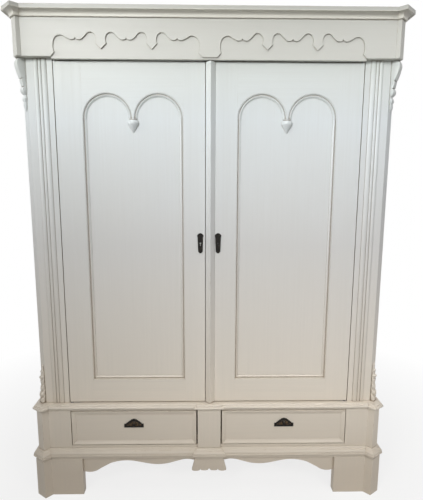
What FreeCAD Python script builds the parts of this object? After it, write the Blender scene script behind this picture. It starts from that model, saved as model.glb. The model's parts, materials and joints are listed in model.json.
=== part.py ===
"""Painted two-door wardrobe on a base with two drawers, in millimetres.

+Z is up, the front faces -Y and +X is to the right. While the pieces are
made, y = 0 is the front face of the doors and z = 0 is the floor. The whole
is moved at the end, so that the origin is under the middle of its box.
"""
import FreeCAD, Part
import math
import os

V = FreeCAD.Vector
MITRE = math.sqrt(2) - 1

# ---- driving dimensions ----------------------------------------------------
# Heights above the floor.
FOOT_HEIGHT = 170.0
PLINTH_HEIGHT = 45.0
DRAWER_OPENING_HEIGHT = 172.0
WAIST_HEIGHT = 29.0
GAP_UNDER_DOOR = 6.0
DOOR_HEIGHT = 1391.0
GAP_OVER_DOOR = 2.5
FRIEZE_DROP = 7.0
FRIEZE_HEIGHT = 137.5
CORNICE_HEIGHT = 35.0

# Widths and depths. A post is a flat beside the door, three reeds, an outer
# flat and the canted corner.
DOOR_OUTER = 598.0
DOOR_SIDE_GAP = 3.0
LEFT_DOOR_MEETING = -17.5
RIGHT_DOOR_MEETING = -15.0
POST_FLAT = 21.0
INNER_REED = 21.0
MIDDLE_REED = 12.0
OUTER_REED = 16.0
POST_OUTER_FLAT = 30.0
CANT = 26.0
CASE_BACK = 520.0

# The base and the crown stand out beyond the body, with a prow at each front
# corner: how far it runs out and forwards, then sideways and back to the side.
BASE_FRONT = 15.0
BASE_MARGIN = 12.5
BASE_CORNER_OUT = 20.0
BASE_CORNER_SIDE = 29.5
BASE_CORNER_BACK = 21.0
CROWN_FRONT = 25.0
CROWN_MARGIN = 13.0
CROWN_CORNER_OUT = 11.0
CROWN_CORNER_SIDE = 24.0
CROWN_CORNER_BACK = 24.0

# Mouldings.
MOULDING_BACKING = 18.0
FOOT_PROJECTION = 13.0
CORNICE_PROJECTION = 30.0

# Board thicknesses.
CARCASS_BOARD = 22.0
BACK_BOARD = 12.0
FOOT_BOARD = 34.0
FRAME_BOARD = 28.0
DOOR_THICKNESS = 24.0
PANEL_THICKNESS = 7.0
THIN_BOARD = 16.0

# Door frame. The springing of the arches is measured from the door's top edge.
LEFT_OUTER_STILE = 102.5
RIGHT_OUTER_STILE = 96.5
LEFT_MEETING_STILE = 84.5
RIGHT_MEETING_STILE = 123.0
BOTTOM_RAIL_HEIGHT = 99.0
SPRINGING_DEPTH = 211.0
ARCH_NECK_HALF = 1.5
PANEL_RECESS = 10.0
PANEL_LAP = 12.0
BEAD_WIDTH = 16.0

# Drawers. The base posts reach in past the pilasters by BASE_POST_LAP.
MUNTIN_HALF_WIDTH = 49.5
MUNTIN_STEP = 8.0
BASE_POST_LAP = 5.5
DRAWER_RAIL_HEIGHT = 11.0
DRAWER_LOW_GAP = 2.0
DRAWER_TOP_GAP = 4.5
DRAWER_INNER_GAP = 6.0
DRAWER_OUTER_GAP = 2.5
DRAWER_FACE = 8.0
DRAWER_FRONT_THICKNESS = 20.0
DRAWER_FRAME_WIDTH = 18.0
DRAWER_FRAME_HEIGHT = 7.0
DRAWER_BOX_BACK = 470.0
DRAWER_SIDE = 14.0
DRAWER_BOTTOM = 8.0
DRAWER_LOCK_THICKNESS = 12.0
DRAWER_BOLT_HALF = 9.0
DRAWER_BOLT_THICKNESS = 6.0
DRAWER_MORTISE_DEPTH = 13.0
DRAWER_LOCK_X = 326.0

# Fits.
REST_GAP = 0.3
PIN_RADIUS = 3.0
PIN_FIT = 0.05
PIVOT_INSET = 6.0
BOLT_RADIUS = 4.0
BOLT_FIT = 0.15

# ---- places worked out from the sizes --------------------------------------
PLINTH_TOP = FOOT_HEIGHT + PLINTH_HEIGHT
WAIST_BOTTOM = PLINTH_TOP + DRAWER_OPENING_HEIGHT
LEDGE = WAIST_BOTTOM + WAIST_HEIGHT
DOOR_BOTTOM = LEDGE + GAP_UNDER_DOOR
DOOR_TOP = DOOR_BOTTOM + DOOR_HEIGHT
OVER_DOOR = GAP_OVER_DOOR + FRIEZE_DROP
CROWN_BOTTOM = DOOR_TOP + OVER_DOOR
CROWN_TOP = CROWN_BOTTOM + FRIEZE_HEIGHT
TOTAL_HEIGHT = CROWN_TOP + CORNICE_HEIGHT
PILASTER_INNER = DOOR_OUTER + DOOR_SIDE_GAP
REED_START = PILASTER_INNER + POST_FLAT
CANT_START = REED_START + INNER_REED + MIDDLE_REED + OUTER_REED + POST_OUTER_FLAT
BODY_HALF_WIDTH = CANT_START + CANT
BASE_HALF_WIDTH = BODY_HALF_WIDTH + BASE_MARGIN
CROWN_HALF_WIDTH = BODY_HALF_WIDTH + CROWN_MARGIN
CORNICE_FRONT = CROWN_FRONT + CROWN_CORNER_OUT + CORNICE_PROJECTION * (1 + MITRE)
ORIGIN_Y = (CASE_BACK - CORNICE_FRONT) / 2
PIVOT_X = DOOR_OUTER - PIVOT_INSET
PANEL_BOTTOM = DOOR_BOTTOM + BOTTOM_RAIL_HEIGHT
SPRING_LINE = DOOR_TOP - SPRINGING_DEPTH
BASE_POST_INNER = PILASTER_INNER - BASE_POST_LAP
DRAWER_LEFT = MUNTIN_HALF_WIDTH + DRAWER_INNER_GAP
DRAWER_RIGHT = BASE_POST_INNER - DRAWER_OUTER_GAP
DRAWER_LOW = PLINTH_TOP + DRAWER_RAIL_HEIGHT + DRAWER_LOW_GAP
DRAWER_HIGH = WAIST_BOTTOM - DRAWER_TOP_GAP
DRAWER_BACK_FACE = DRAWER_FRONT_THICKNESS - DRAWER_FACE

NODES = {}


# ---- helpers ---------------------------------------------------------------
def node(name, *solids):
    """Put one or more solids into a named sub-part."""
    NODES[name] = solids[0] if len(solids) == 1 else Part.makeCompound(list(solids))


def box(x0, x1, y0, y1, z0, z1):
    return Part.makeBox(x1 - x0, y1 - y0, z1 - z0, V(x0, y0, z0))


def rod(radius, start, axis, length):
    return Part.makeCylinder(radius, length, V(*start), V(*axis))


def mirrored(shape):
    """The same piece for the other side."""
    return shape.mirror(V(0, 0, 0), V(1, 0, 0))


def in_plan(a, b):
    return V(a, b, 0)


def in_front(a, b):
    return V(a, 0, b)


def in_side(a, b):
    return V(0, a, b)


def outline(path, place):
    """A face from a closed path. A step is a point, or (via, end) for an arc."""
    edges = []
    here = place(*path[0])
    for step in list(path[1:]) + [path[0]]:
        if isinstance(step[0], tuple):
            via, end = place(*step[0]), place(*step[1])
            edges.append(Part.Arc(here, via, end).toShape())
        else:
            end = place(*step)
            if here.distanceToPoint(end) < 1e-6:
                continue
            edges.append(Part.LineSegment(here, end).toShape())
        here = end
    return Part.Face(Part.Wire(edges))


def plan_block(path, z0, z1):
    """An outline seen from above, from z0 up to z1."""
    block = outline(path, in_plan).extrude(V(0, 0, z1 - z0))
    block.translate(V(0, 0, z0))
    return block


def front_block(path, y0, y1):
    """An outline seen from the front, from y0 back to y1."""
    block = outline(path, in_front).extrude(V(0, y1 - y0, 0))
    block.translate(V(0, y0, 0))
    return block


def both_ways(half):
    """A path seen on the right of the middle, with its mirror image added."""
    other = []
    ends = [step[1] if isinstance(step[0], tuple) else step for step in half]
    for index in range(len(half) - 1, 0, -1):
        x, z = ends[index - 1]
        if isinstance(half[index][0], tuple):
            via_x, via_z = half[index][0]
            other.append(((-via_x, via_z), (-x, z)))
        else:
            other.append((-x, z))
    first = (-ends[-1][0], ends[-1][1])
    return list(half), [first] + other


def case_line(front, side, out, side_run, back_run, step=0.0):
    """The plan of a case with a prow at each front corner, from back left to back right.

    step brings the middle forwards over the drawer muntin.
    """
    prow = side - side_run
    right = [(prow - out, -front), (prow, -front - out)]
    right += [(side, -front - out + back_run), (side, CASE_BACK)]
    if step:
        right = [(MUNTIN_HALF_WIDTH, -front - step), (MUNTIN_HALF_WIDTH, -front)] + right
    left = [(-x, y) for x, y in reversed(right)]
    return left + right


def mitre_vectors(line, closed=False):
    """How a corner of the line moves for each millimetre of offset outwards."""
    count = len(line)
    normals = []
    for i in range(count if closed else count - 1):
        ax, ay = line[i]
        bx, by = line[(i + 1) % count]
        length = math.hypot(bx - ax, by - ay)
        normals.append(((by - ay) / length, (ax - bx) / length))
    vectors = []
    for i in range(count):
        before = normals[i - 1] if closed or i > 0 else normals[0]
        after = normals[i] if i < len(normals) else normals[-1]
        share = 1 + before[0] * after[0] + before[1] * after[1]
        vectors.append(((before[0] + after[0]) / share, (before[1] + after[1]) / share))
    return normals, vectors


def offset_line(line, offset):
    vectors = mitre_vectors(line)[1]
    return [(x + offset * mx, y + offset * my) for (x, y), (mx, my) in zip(line, vectors)]


def mitred_lengths(line, profile, closed=False):
    """One solid for each straight length of a moulding, cut to its mitres.

    profile is a closed path of (distance outwards from the line, height).
    """
    normals, vectors = mitre_vectors(line, closed)
    section = outline(profile, in_front)
    low, high = section.BoundBox.XMin - 1, section.BoundBox.XMax + 1
    bottom, top = section.BoundBox.ZMin - 1, section.BoundBox.ZMax + 1
    reach = 3 * max(abs(low), abs(high))
    lengths = []
    for i, (nx, ny) in enumerate(normals):
        j = (i + 1) % len(line)
        (ax, ay), (bx, by) = line[i], line[j]
        run = math.hypot(bx - ax, by - ay)
        piece = section.extrude(V(0, run + 2 * reach, 0))
        piece.translate(V(0, -reach, 0))
        piece.rotate(V(0, 0, 0), V(0, 0, 1), math.degrees(math.atan2(ny, nx)))
        piece.translate(V(ax, ay, 0))
        wedge = [
            (ax + low * vectors[i][0], ay + low * vectors[i][1]),
            (ax + high * vectors[i][0], ay + high * vectors[i][1]),
            (bx + high * vectors[j][0], by + high * vectors[j][1]),
            (bx + low * vectors[j][0], by + low * vectors[j][1]),
        ]
        lengths += piece.common(plan_block(wedge, bottom, top)).Solids
    return lengths


def stood_up(shapes, y):
    """Turn pieces drawn flat in plan to face the front, on the plane y."""
    for shape in shapes:
        shape.rotate(V(0, 0, 0), V(1, 0, 0), 90)
        shape.translate(V(0, y, 0))
    return shapes


BASE_LINE = case_line(
    BASE_FRONT, BASE_HALF_WIDTH, BASE_CORNER_OUT, BASE_CORNER_SIDE, BASE_CORNER_BACK, MUNTIN_STEP,
)
CROWN_LINE = case_line(
    CROWN_FRONT, CROWN_HALF_WIDTH, CROWN_CORNER_OUT, CROWN_CORNER_SIDE, CROWN_CORNER_BACK,
)


# ---- feet, apron and plinth ------------------------------------------------
def feet():
    """Bracket feet: a front board with the prow and a side board, and plain ones at the back."""
    start, prow, corner = offset_line(BASE_LINE, FOOT_PROJECTION)[-4:-1]
    side = corner[0]
    inner_front = -BASE_FRONT - FOOT_PROJECTION + FOOT_BOARD
    plan = [
        (FOOT_INNER, start[1]), start, prow, corner,
        (side, FOOT_SIDE_LENGTH), (side - FOOT_BOARD, FOOT_SIDE_LENGTH),
        (side - FOOT_BOARD, inner_front), (FOOT_INNER, inner_front),
    ]
    front = plan_block(plan, 0, FOOT_HEIGHT)
    node("front_feet", front, mirrored(front))
    plan = [
        (side, CASE_BACK - FOOT_SIDE_LENGTH), (side, CASE_BACK), (BACK_FOOT_INNER, CASE_BACK),
        (BACK_FOOT_INNER, CASE_BACK - FOOT_BOARD), (side - FOOT_BOARD, CASE_BACK - FOOT_BOARD),
        (side - FOOT_BOARD, CASE_BACK - FOOT_SIDE_LENGTH),
    ]
    back = plan_block(plan, 0, FOOT_HEIGHT)
    node("back_feet", back, mirrored(back))


FOOT_REACH = 189.5
FOOT_INNER = BASE_HALF_WIDTH - FOOT_REACH
FOOT_SIDE_LENGTH = 140.0
BACK_FOOT_INNER = BASE_HALF_WIDTH - 102.0
feet()


# The serpentine apron: lobe beside the foot, hollow, shallow lobe, hollow.
APRON_THICKNESS = 20.0
APRON_FOOT_LOBE = 71.0
APRON_MIDDLE_LOBE = 37.0
APRON_HOLLOW = 18.0
APRON_CENTRE_HOLLOW = 13.0


def apron():
    """The sawn edge is set out in tenths of the way from the middle to the foot.

    Its depths are measured down from the top of the board.
    """
    tenth = FOOT_INNER / 10
    foot_lobe = FOOT_HEIGHT - APRON_FOOT_LOBE
    middle_lobe = FOOT_HEIGHT - APRON_MIDDLE_LOBE
    hollow = FOOT_HEIGHT - APRON_HOLLOW
    centre_hollow = FOOT_HEIGHT - APRON_CENTRE_HOLLOW
    edge = [
        (0, FOOT_HEIGHT),
        (0, centre_hollow - 4),
        (1.28 * tenth, centre_hollow - 4),
        ((1.7 * tenth, centre_hollow), (2.2 * tenth, centre_hollow - 3)),
        (3.15 * tenth, middle_lobe + 6),
        ((4 * tenth, middle_lobe), (4.9 * tenth, middle_lobe + 5)),
        (5.7 * tenth, hollow - 5),
        ((6.8 * tenth, hollow), (7.85 * tenth, hollow - 12)),
        (8.7 * tenth, foot_lobe + 15),
        ((9.3 * tenth, foot_lobe), (FOOT_INNER, foot_lobe + 4)),
        (FOOT_INNER, FOOT_HEIGHT),
    ]
    half = front_block(edge, -BASE_FRONT, -BASE_FRONT + APRON_THICKNESS)
    node("front_apron", half.fuse(mirrored(half)).removeSplitter().Solids[0])


apron()

# The drop under the middle of the plinth: a flared board with a lobed lower edge.
DROP_TOP_HALF = 61.0
DROP_FOOT_HALF = 75.0
DROP_LENGTH = 59.0


def centre_drop():
    low = FOOT_HEIGHT - DROP_LENGTH
    half = [
        (0, low + 9), (6, low + 1),
        ((22, low - 1), (36, low + 1)),
        (38, low + 6), (42, low),
        ((57, low - 3), (DROP_FOOT_HALF - 5, low - 1)),
        ((DROP_FOOT_HALF - 1, low), (DROP_FOOT_HALF, low + 5)),
        (DROP_TOP_HALF, FOOT_HEIGHT),
    ]
    right, left = both_ways(half)
    front = -BASE_FRONT - FOOT_PROJECTION
    node("centre_drop", front_block(right + left[:-1], front, -BASE_FRONT))


centre_drop()


def plinth():
    """Torus moulding round the base, in mitred lengths, and the dust board inside it.

    From below: band, bevel, fillet, torus, quirk and a bevelled bead at the top.
    Under each drawer a rail stands on the front edge of the board.
    """
    z = FOOT_HEIGHT
    band = FOOT_PROJECTION - 1
    profile = [
        (-MOULDING_BACKING, z), (band, z), (band, z + 11),
        (band + 1, z + 13.4), (band + 4, z + 14.5), (20.5, z + 14.5), (21, z + 15),
        (21, z + 20.5), (19, z + 21),
        ((18.3, z + 29.5), (12.5, z + 35)),
        (12.5, z + 36.5), (9, z + 37.5), (7, z + 40),
        (5.5, z + 43.5), (2, z + PLINTH_HEIGHT), (-MOULDING_BACKING, z + PLINTH_HEIGHT),
    ]
    node("plinth_moulding", *mitred_lengths(BASE_LINE, profile))
    inside = offset_line(BASE_LINE, -MOULDING_BACKING)
    board = plan_block(inside, PLINTH_TOP - THIN_BOARD, PLINTH_TOP)
    rail = box(
        MUNTIN_HALF_WIDTH, BASE_POST_INNER, -BASE_FRONT, -BASE_FRONT + FRAME_BOARD,
        PLINTH_TOP, PLINTH_TOP + DRAWER_RAIL_HEIGHT,
    )
    node("dust_board", board, rail, mirrored(rail))


plinth()


# ---- drawer case -----------------------------------------------------------
CORNER_SIDE_LENGTH = 60.0
PARTITION_HALF = 11.0


def drawer_case():
    """Diagonal front corners, sides, back, muntin and partition between the two mouldings."""
    start, prow, corner = BASE_LINE[-4:-1]
    inner_front = -BASE_FRONT + FRAME_BOARD
    plan = [
        (BASE_POST_INNER, -BASE_FRONT), start, prow, corner,
        (BASE_HALF_WIDTH, CORNER_SIDE_LENGTH),
        (BASE_HALF_WIDTH - FRAME_BOARD, CORNER_SIDE_LENGTH),
        (BASE_HALF_WIDTH - FRAME_BOARD, inner_front), (BASE_POST_INNER, inner_front),
    ]
    block = plan_block(plan, PLINTH_TOP, WAIST_BOTTOM)
    node("base_corners", block, mirrored(block))

    back_front = CASE_BACK - CARCASS_BOARD
    side = box(
        BASE_HALF_WIDTH - CARCASS_BOARD, BASE_HALF_WIDTH, CORNER_SIDE_LENGTH, back_front,
        PLINTH_TOP, WAIST_BOTTOM,
    )
    node("base_sides", side, mirrored(side))
    node("base_back", box(
        -BASE_HALF_WIDTH, BASE_HALF_WIDTH, back_front, CASE_BACK, PLINTH_TOP, WAIST_BOTTOM,
    ))
    muntin_front = -BASE_FRONT - MUNTIN_STEP
    muntin_back = muntin_front + FRAME_BOARD
    node("drawer_muntin", box(
        -MUNTIN_HALF_WIDTH, MUNTIN_HALF_WIDTH, muntin_front, muntin_back, PLINTH_TOP, WAIST_BOTTOM,
    ))
    node("drawer_partition", box(
        -PARTITION_HALF, PARTITION_HALF, muntin_back, back_front, PLINTH_TOP, WAIST_BOTTOM,
    ))


drawer_case()


def waist():
    """Waist moulding with its step over the muntin, and the board that floors the wardrobe.

    From below: a flat rail, a projecting ovolo, a quirk and a bevelled bead.
    """
    z = WAIST_BOTTOM
    profile = [
        (-MOULDING_BACKING, z), (0, z), (0, z + 13.5), (13, z + 13.5), (14, z + 15), (14, z + 17.5),
        ((13, z + 20.6), (9.5, z + 22.5)),
        (5.5, z + 22.5), (5.5, z + 24), (4.8, z + 27), (2, z + WAIST_HEIGHT),
        (-MOULDING_BACKING, z + WAIST_HEIGHT),
    ]
    node("waist_moulding", *mitred_lengths(BASE_LINE, profile))
    board = plan_block(offset_line(BASE_LINE, -MOULDING_BACKING), WAIST_BOTTOM, LEDGE)
    spike = rod(SPIKE_BORE, (PIVOT_X, PIVOT_INSET, LEDGE - SPIKE_DEPTH), (0, 0, 1), SPIKE_DEPTH + 1)
    socket = rod(
        BOLT_SOCKET, (-SURFACE_BOLT_X, SURFACE_BOLT_Y, LEDGE - BOLT_SOCKET_DEPTH),
        (0, 0, 1), BOLT_SOCKET_DEPTH + 1,
    )
    mortise = drawer_bolt_space(1.5, WAIST_BOTTOM - 1, DRAWER_MORTISE_DEPTH + 1)
    for cutter in (spike, mirrored(spike), socket, mortise, mirrored(mortise)):
        board = board.cut(cutter)
    node("waist_board", board)


def drawer_bolt_space(extra, z, height):
    """The drawer lock's bolt, or the room round it when extra is the clearance."""
    middle = DRAWER_BACK_FACE + DRAWER_LOCK_THICKNESS / 2
    half = DRAWER_BOLT_THICKNESS / 2 + extra
    wide = DRAWER_BOLT_HALF + extra
    return box(
        DRAWER_LOCK_X - wide, DRAWER_LOCK_X + wide, middle - half, middle + half, z, z + height,
    )


SPIKE_RADIUS = 2.5
SPIKE_BORE = SPIKE_RADIUS + 0.1
SPIKE_DEPTH = 14.0
SURFACE_BOLT_X = 60.0
SURFACE_BOLT_Y = DOOR_THICKNESS + 8.0
BOLT_SOCKET = BOLT_RADIUS + 0.6
BOLT_SOCKET_DEPTH = 14.0
waist()


# ---- body ------------------------------------------------------------------
QUIRK_DEPTH = 3.5
REED_RISE = 1.2
POST_SETBACK = 3.0
POST_DEPTH = 60.0


def reeds():
    """Front of the post seen from above: three reeds, each rounded up out of a quirk."""
    x = REED_START
    path = []
    for width in (INNER_REED, MIDDLE_REED, OUTER_REED):
        path += [(x, 0), (x, QUIRK_DEPTH), ((x + width / 4, -REED_RISE), (x + width, 0))]
        x += width
    path.append((x, POST_SETBACK))
    return path


def pilasters():
    """Front posts of the body: flat, reeds, outer flat set back, and canted corner."""
    plan = [(PILASTER_INNER, 0)] + reeds() + [
        (CANT_START, POST_SETBACK), (BODY_HALF_WIDTH, POST_SETBACK + CANT),
        (BODY_HALF_WIDTH, POST_DEPTH), (BODY_HALF_WIDTH - FRAME_BOARD, POST_DEPTH),
        (BODY_HALF_WIDTH - FRAME_BOARD, FRAME_BOARD), (PILASTER_INNER, FRAME_BOARD),
    ]
    post = plan_block(plan, LEDGE, CROWN_BOTTOM)
    node("right_pilaster", post)
    node("left_pilaster", mirrored(post))


pilasters()

BODY_BACK = CASE_BACK - 5.0
BACK_BOARD_COUNT = 6
TOP_BOARD_FRONT = -3.0
INNER_HALF = BODY_HALF_WIDTH - CARCASS_BOARD


def body():
    """Side boards, back boards between them, and the board over them."""
    side = box(INNER_HALF, BODY_HALF_WIDTH, POST_DEPTH, BODY_BACK, LEDGE, CROWN_BOTTOM)
    node("body_sides", side, mirrored(side))
    width = 2 * INNER_HALF / BACK_BOARD_COUNT
    boards = []
    for i in range(BACK_BOARD_COUNT):
        x = -INNER_HALF + i * width
        boards.append(box(x, x + width, BODY_BACK - BACK_BOARD, BODY_BACK, LEDGE, CROWN_BOTTOM))
    node("back_boards", *boards)

    top = box(
        -BODY_HALF_WIDTH, BODY_HALF_WIDTH, TOP_BOARD_FRONT, BODY_BACK,
        CROWN_BOTTOM, CROWN_BOTTOM + CARCASS_BOARD,
    )
    spike = rod(SPIKE_BORE, (PIVOT_X, PIVOT_INSET, CROWN_BOTTOM - 1), (0, 0, 1), SPIKE_DEPTH + 1)
    socket = rod(
        BOLT_SOCKET, (-SURFACE_BOLT_X, SURFACE_BOLT_Y, CROWN_BOTTOM - 1),
        (0, 0, 1), BOLT_SOCKET_DEPTH + 1,
    )
    node("top_board", top.cut(spike).cut(mirrored(spike)).cut(socket))


body()

HAT_SPACE = 242.5
SHELF_THICKNESS = 20.0
SHELF_UNDERSIDE = CROWN_BOTTOM - HAT_SPACE - SHELF_THICKNESS
CLEAT_THICKNESS = 22.0
CLEAT_HEIGHT = 26.0
CLEAT_FRONT = 64.0
CLEAT_BACK = 480.0
RAIL_RADIUS = 14.0
RAIL_DROP = 70.0
RAIL_Y = 270.0
RAIL_FIT = 0.2


def interior():
    """Hat shelf on cleats, and the clothes rail held in the ears of the cleats."""
    shelf_back = BODY_BACK - BACK_BOARD - REST_GAP
    node("hat_shelf", box(
        -INNER_HALF + REST_GAP, INNER_HALF - REST_GAP, POST_DEPTH + REST_GAP, shelf_back,
        SHELF_UNDERSIDE, SHELF_UNDERSIDE + SHELF_THICKNESS,
    ))
    rail_z = SHELF_UNDERSIDE - RAIL_DROP
    ear = RAIL_RADIUS + 11
    side_view = [
        (CLEAT_FRONT, SHELF_UNDERSIDE), (CLEAT_FRONT, SHELF_UNDERSIDE - CLEAT_HEIGHT),
        (RAIL_Y - 2 * ear, SHELF_UNDERSIDE - CLEAT_HEIGHT), (RAIL_Y - ear, rail_z),
        ((RAIL_Y, rail_z - ear), (RAIL_Y + ear, rail_z)),
        (RAIL_Y + 2 * ear, SHELF_UNDERSIDE - CLEAT_HEIGHT),
        (CLEAT_BACK, SHELF_UNDERSIDE - CLEAT_HEIGHT), (CLEAT_BACK, SHELF_UNDERSIDE),
    ]
    cleat = outline(side_view, in_side).extrude(V(CLEAT_THICKNESS, 0, 0))
    cleat.translate(V(INNER_HALF - CLEAT_THICKNESS, 0, 0))
    hole = rod(RAIL_RADIUS + RAIL_FIT, (0, RAIL_Y, rail_z), (1, 0, 0), BODY_HALF_WIDTH)
    cleat = cleat.cut(hole)
    node("shelf_cleats", cleat, mirrored(cleat))
    reach = INNER_HALF - REST_GAP
    node("hanging_rail", rod(RAIL_RADIUS, (-reach, RAIL_Y, rail_z), (1, 0, 0), 2 * reach))


interior()


# ---- scroll brackets on the canted corners ---------------------------------
BRACKET_WIDTH = 28.0
UPPER_BRACKET_HEIGHT = 196.0
LOWER_BRACKET_HEIGHT = 174.0


def on_cant(profile, front_view):
    """A carved block on the canted corner.

    profile is (distance out from the cant, height), front_view (across the cant, height).
    The block is what lies inside both outlines.
    """
    side = outline(profile, in_front).extrude(V(0, BRACKET_WIDTH, 0))
    side.translate(V(0, -BRACKET_WIDTH / 2, 0))
    face = outline(front_view, in_side).extrude(V(BRACKET_WIDTH * 2, 0, 0))
    block = side.common(face).Solids[0]
    block.rotate(V(0, 0, 0), V(0, 0, 1), -45)
    block.translate(V(CANT_START + CANT / 2, POST_SETBACK + CANT / 2, 0))
    return block


def upper_bracket():
    """Hanging scroll under the frieze: swelling head, two quirks, a bead and a drop.

    Heights are set out in tenths of the bracket's own height.
    """
    z = CROWN_BOTTOM
    tenth = UPPER_BRACKET_HEIGHT / 10
    profile = [
        (0, z), (22, z),
        ((31, z - 0.9 * tenth), (29, z - 1.8 * tenth)),
        ((23, z - 2.9 * tenth), (17, z - 3.7 * tenth)),
        (13, z - 3.75 * tenth), (16, z - 3.9 * tenth),
        ((14, z - 4.5 * tenth), (11, z - 5.1 * tenth)),
        (7, z - 5.2 * tenth), (10, z - 5.3 * tenth),
        ((14.5, z - 5.9 * tenth), (8, z - 6.6 * tenth)),
        (4, z - 6.8 * tenth), (4, z - 7 * tenth),
        ((9, z - 7.5 * tenth), (6, z - 8.1 * tenth)),
        ((6.5, z - 9 * tenth), (1.5, z - 9.8 * tenth)),
        (0, z - UPPER_BRACKET_HEIGHT),
    ]
    half = BRACKET_WIDTH / 2
    right = [
        (half, z), (half, z - 3.7 * tenth),
        ((half - 2, z - 4.5 * tenth), (half - 1, z - 5.2 * tenth)),
        ((half, z - 5.9 * tenth), (half - 4, z - 6.8 * tenth)),
        (half - 4, z - 7 * tenth),
        ((half - 2, z - 7.5 * tenth), (half - 5, z - 8.1 * tenth)),
        ((half - 5, z - 9 * tenth), (2, z - UPPER_BRACKET_HEIGHT)),
    ]
    return on_cant(profile, closed_about_middle(right))


def lower_bracket():
    """Leaf scroll standing on the waist: swelling foot, and three leaf tips above it.

    Heights are set out in tenths of the bracket's own height.
    """
    z = LEDGE
    tenth = LOWER_BRACKET_HEIGHT / 10
    profile = [
        (0, z), (14, z),
        ((22, z + 1.3 * tenth), (17, z + 3 * tenth)),
        ((13, z + 4.1 * tenth), (12, z + 5.3 * tenth)),
        (17, z + 6.6 * tenth),
        ((12, z + 6.7 * tenth), (9, z + 7 * tenth)),
        (12, z + 8 * tenth),
        ((7, z + 8.2 * tenth), (6, z + 8.5 * tenth)),
        (7, z + 9.4 * tenth),
        ((3, z + 9.6 * tenth), (0, z + LOWER_BRACKET_HEIGHT)),
    ]
    half = BRACKET_WIDTH / 2
    right = [
        (half, z), (half, z + 3.4 * tenth),
        ((half - 3, z + 4.8 * tenth), (half - 1, z + 6 * tenth)),
        ((half - 1.5, z + 7.2 * tenth), (half - 4, z + 7.8 * tenth)),
        ((half - 4, z + 8.7 * tenth), (3, z + LOWER_BRACKET_HEIGHT)),
    ]
    return on_cant(profile, closed_about_middle(right))


def closed_about_middle(right):
    """A closed outline from its right half, straight across at both ends."""
    same, other = both_ways(right)
    return same + other


def brackets():
    upper = upper_bracket()
    node("upper_brackets", upper, mirrored(upper))
    lower = lower_bracket()
    node("lower_brackets", lower, mirrored(lower))


brackets()


# ---- frieze and cornice ----------------------------------------------------
CORNICE_FASCIA = 16.0
CORNICE_BAND_OUT = 7.0
CORNICE_BAND_HEIGHT = 6.0
OVERLAY_THICKNESS = 6.0
FRIEZE_BOARD_BACK = TOP_BOARD_FRONT
SCALLOP_INNER_END = 27.5
SCALLOP_CENTRE = (SCALLOP_INNER_END + DOOR_OUTER) / 2
SCALLOP_BAY = (DOOR_OUTER - SCALLOP_INNER_END) / 6
SCALLOP_TOP = 86.5
SCALLOP_LOBE = 59.5
SCALLOP_CUSP = 67.5
PENDANT_TIP = 27.5
PENDANT_SHOULDER = 47.5
PENDANT_HALF = 20.0


def scallop_cut():
    """What is sawn out of the overlay above one door: three bays and two pointed pendants."""
    shoulder = SCALLOP_BAY - PENDANT_HALF
    inner = [
        (0, SCALLOP_CUSP), (3, SCALLOP_LOBE + 3),
        ((14, SCALLOP_LOBE), (27, SCALLOP_LOBE + 5)),
        (39, SCALLOP_TOP - 11),
        ((57, SCALLOP_TOP), (shoulder, SCALLOP_TOP - 12)),
        ((shoulder + 3, SCALLOP_TOP - 24), (shoulder, PENDANT_SHOULDER)),
        (SCALLOP_BAY, PENDANT_TIP),
    ]
    # From the pendant up into the outer bay, as the middle bay turned round.
    bay = 2 * SCALLOP_BAY
    rise = bay - shoulder
    outer = [
        (rise, PENDANT_SHOULDER),
        ((rise - 3, SCALLOP_TOP - 24), (rise, SCALLOP_TOP - 12)),
        ((bay - 57, SCALLOP_TOP), (bay - 39, SCALLOP_TOP - 11)),
        (bay - 27, SCALLOP_LOBE + 5),
        ((bay - 14, SCALLOP_LOBE), (bay - 3, SCALLOP_LOBE + 3)),
        (bay, SCALLOP_CUSP), (bay + 3, SCALLOP_LOBE + 3),
        ((bay + 14, SCALLOP_LOBE), (bay + 27, SCALLOP_LOBE + 4)),
        (bay + 38, SCALLOP_TOP - 18),
        ((bay + 60, SCALLOP_TOP - 11), (bay + 78, SCALLOP_TOP - 23)),
        ((bay + 84, SCALLOP_TOP - 43), (bay + 80, 15)),
        (3 * SCALLOP_BAY, -1),
    ]
    right, left = both_ways(inner + outer)
    return front_block(right + left[:-1], -CROWN_FRONT - 1, -CROWN_FRONT + OVERLAY_THICKNESS + 1)


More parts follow.
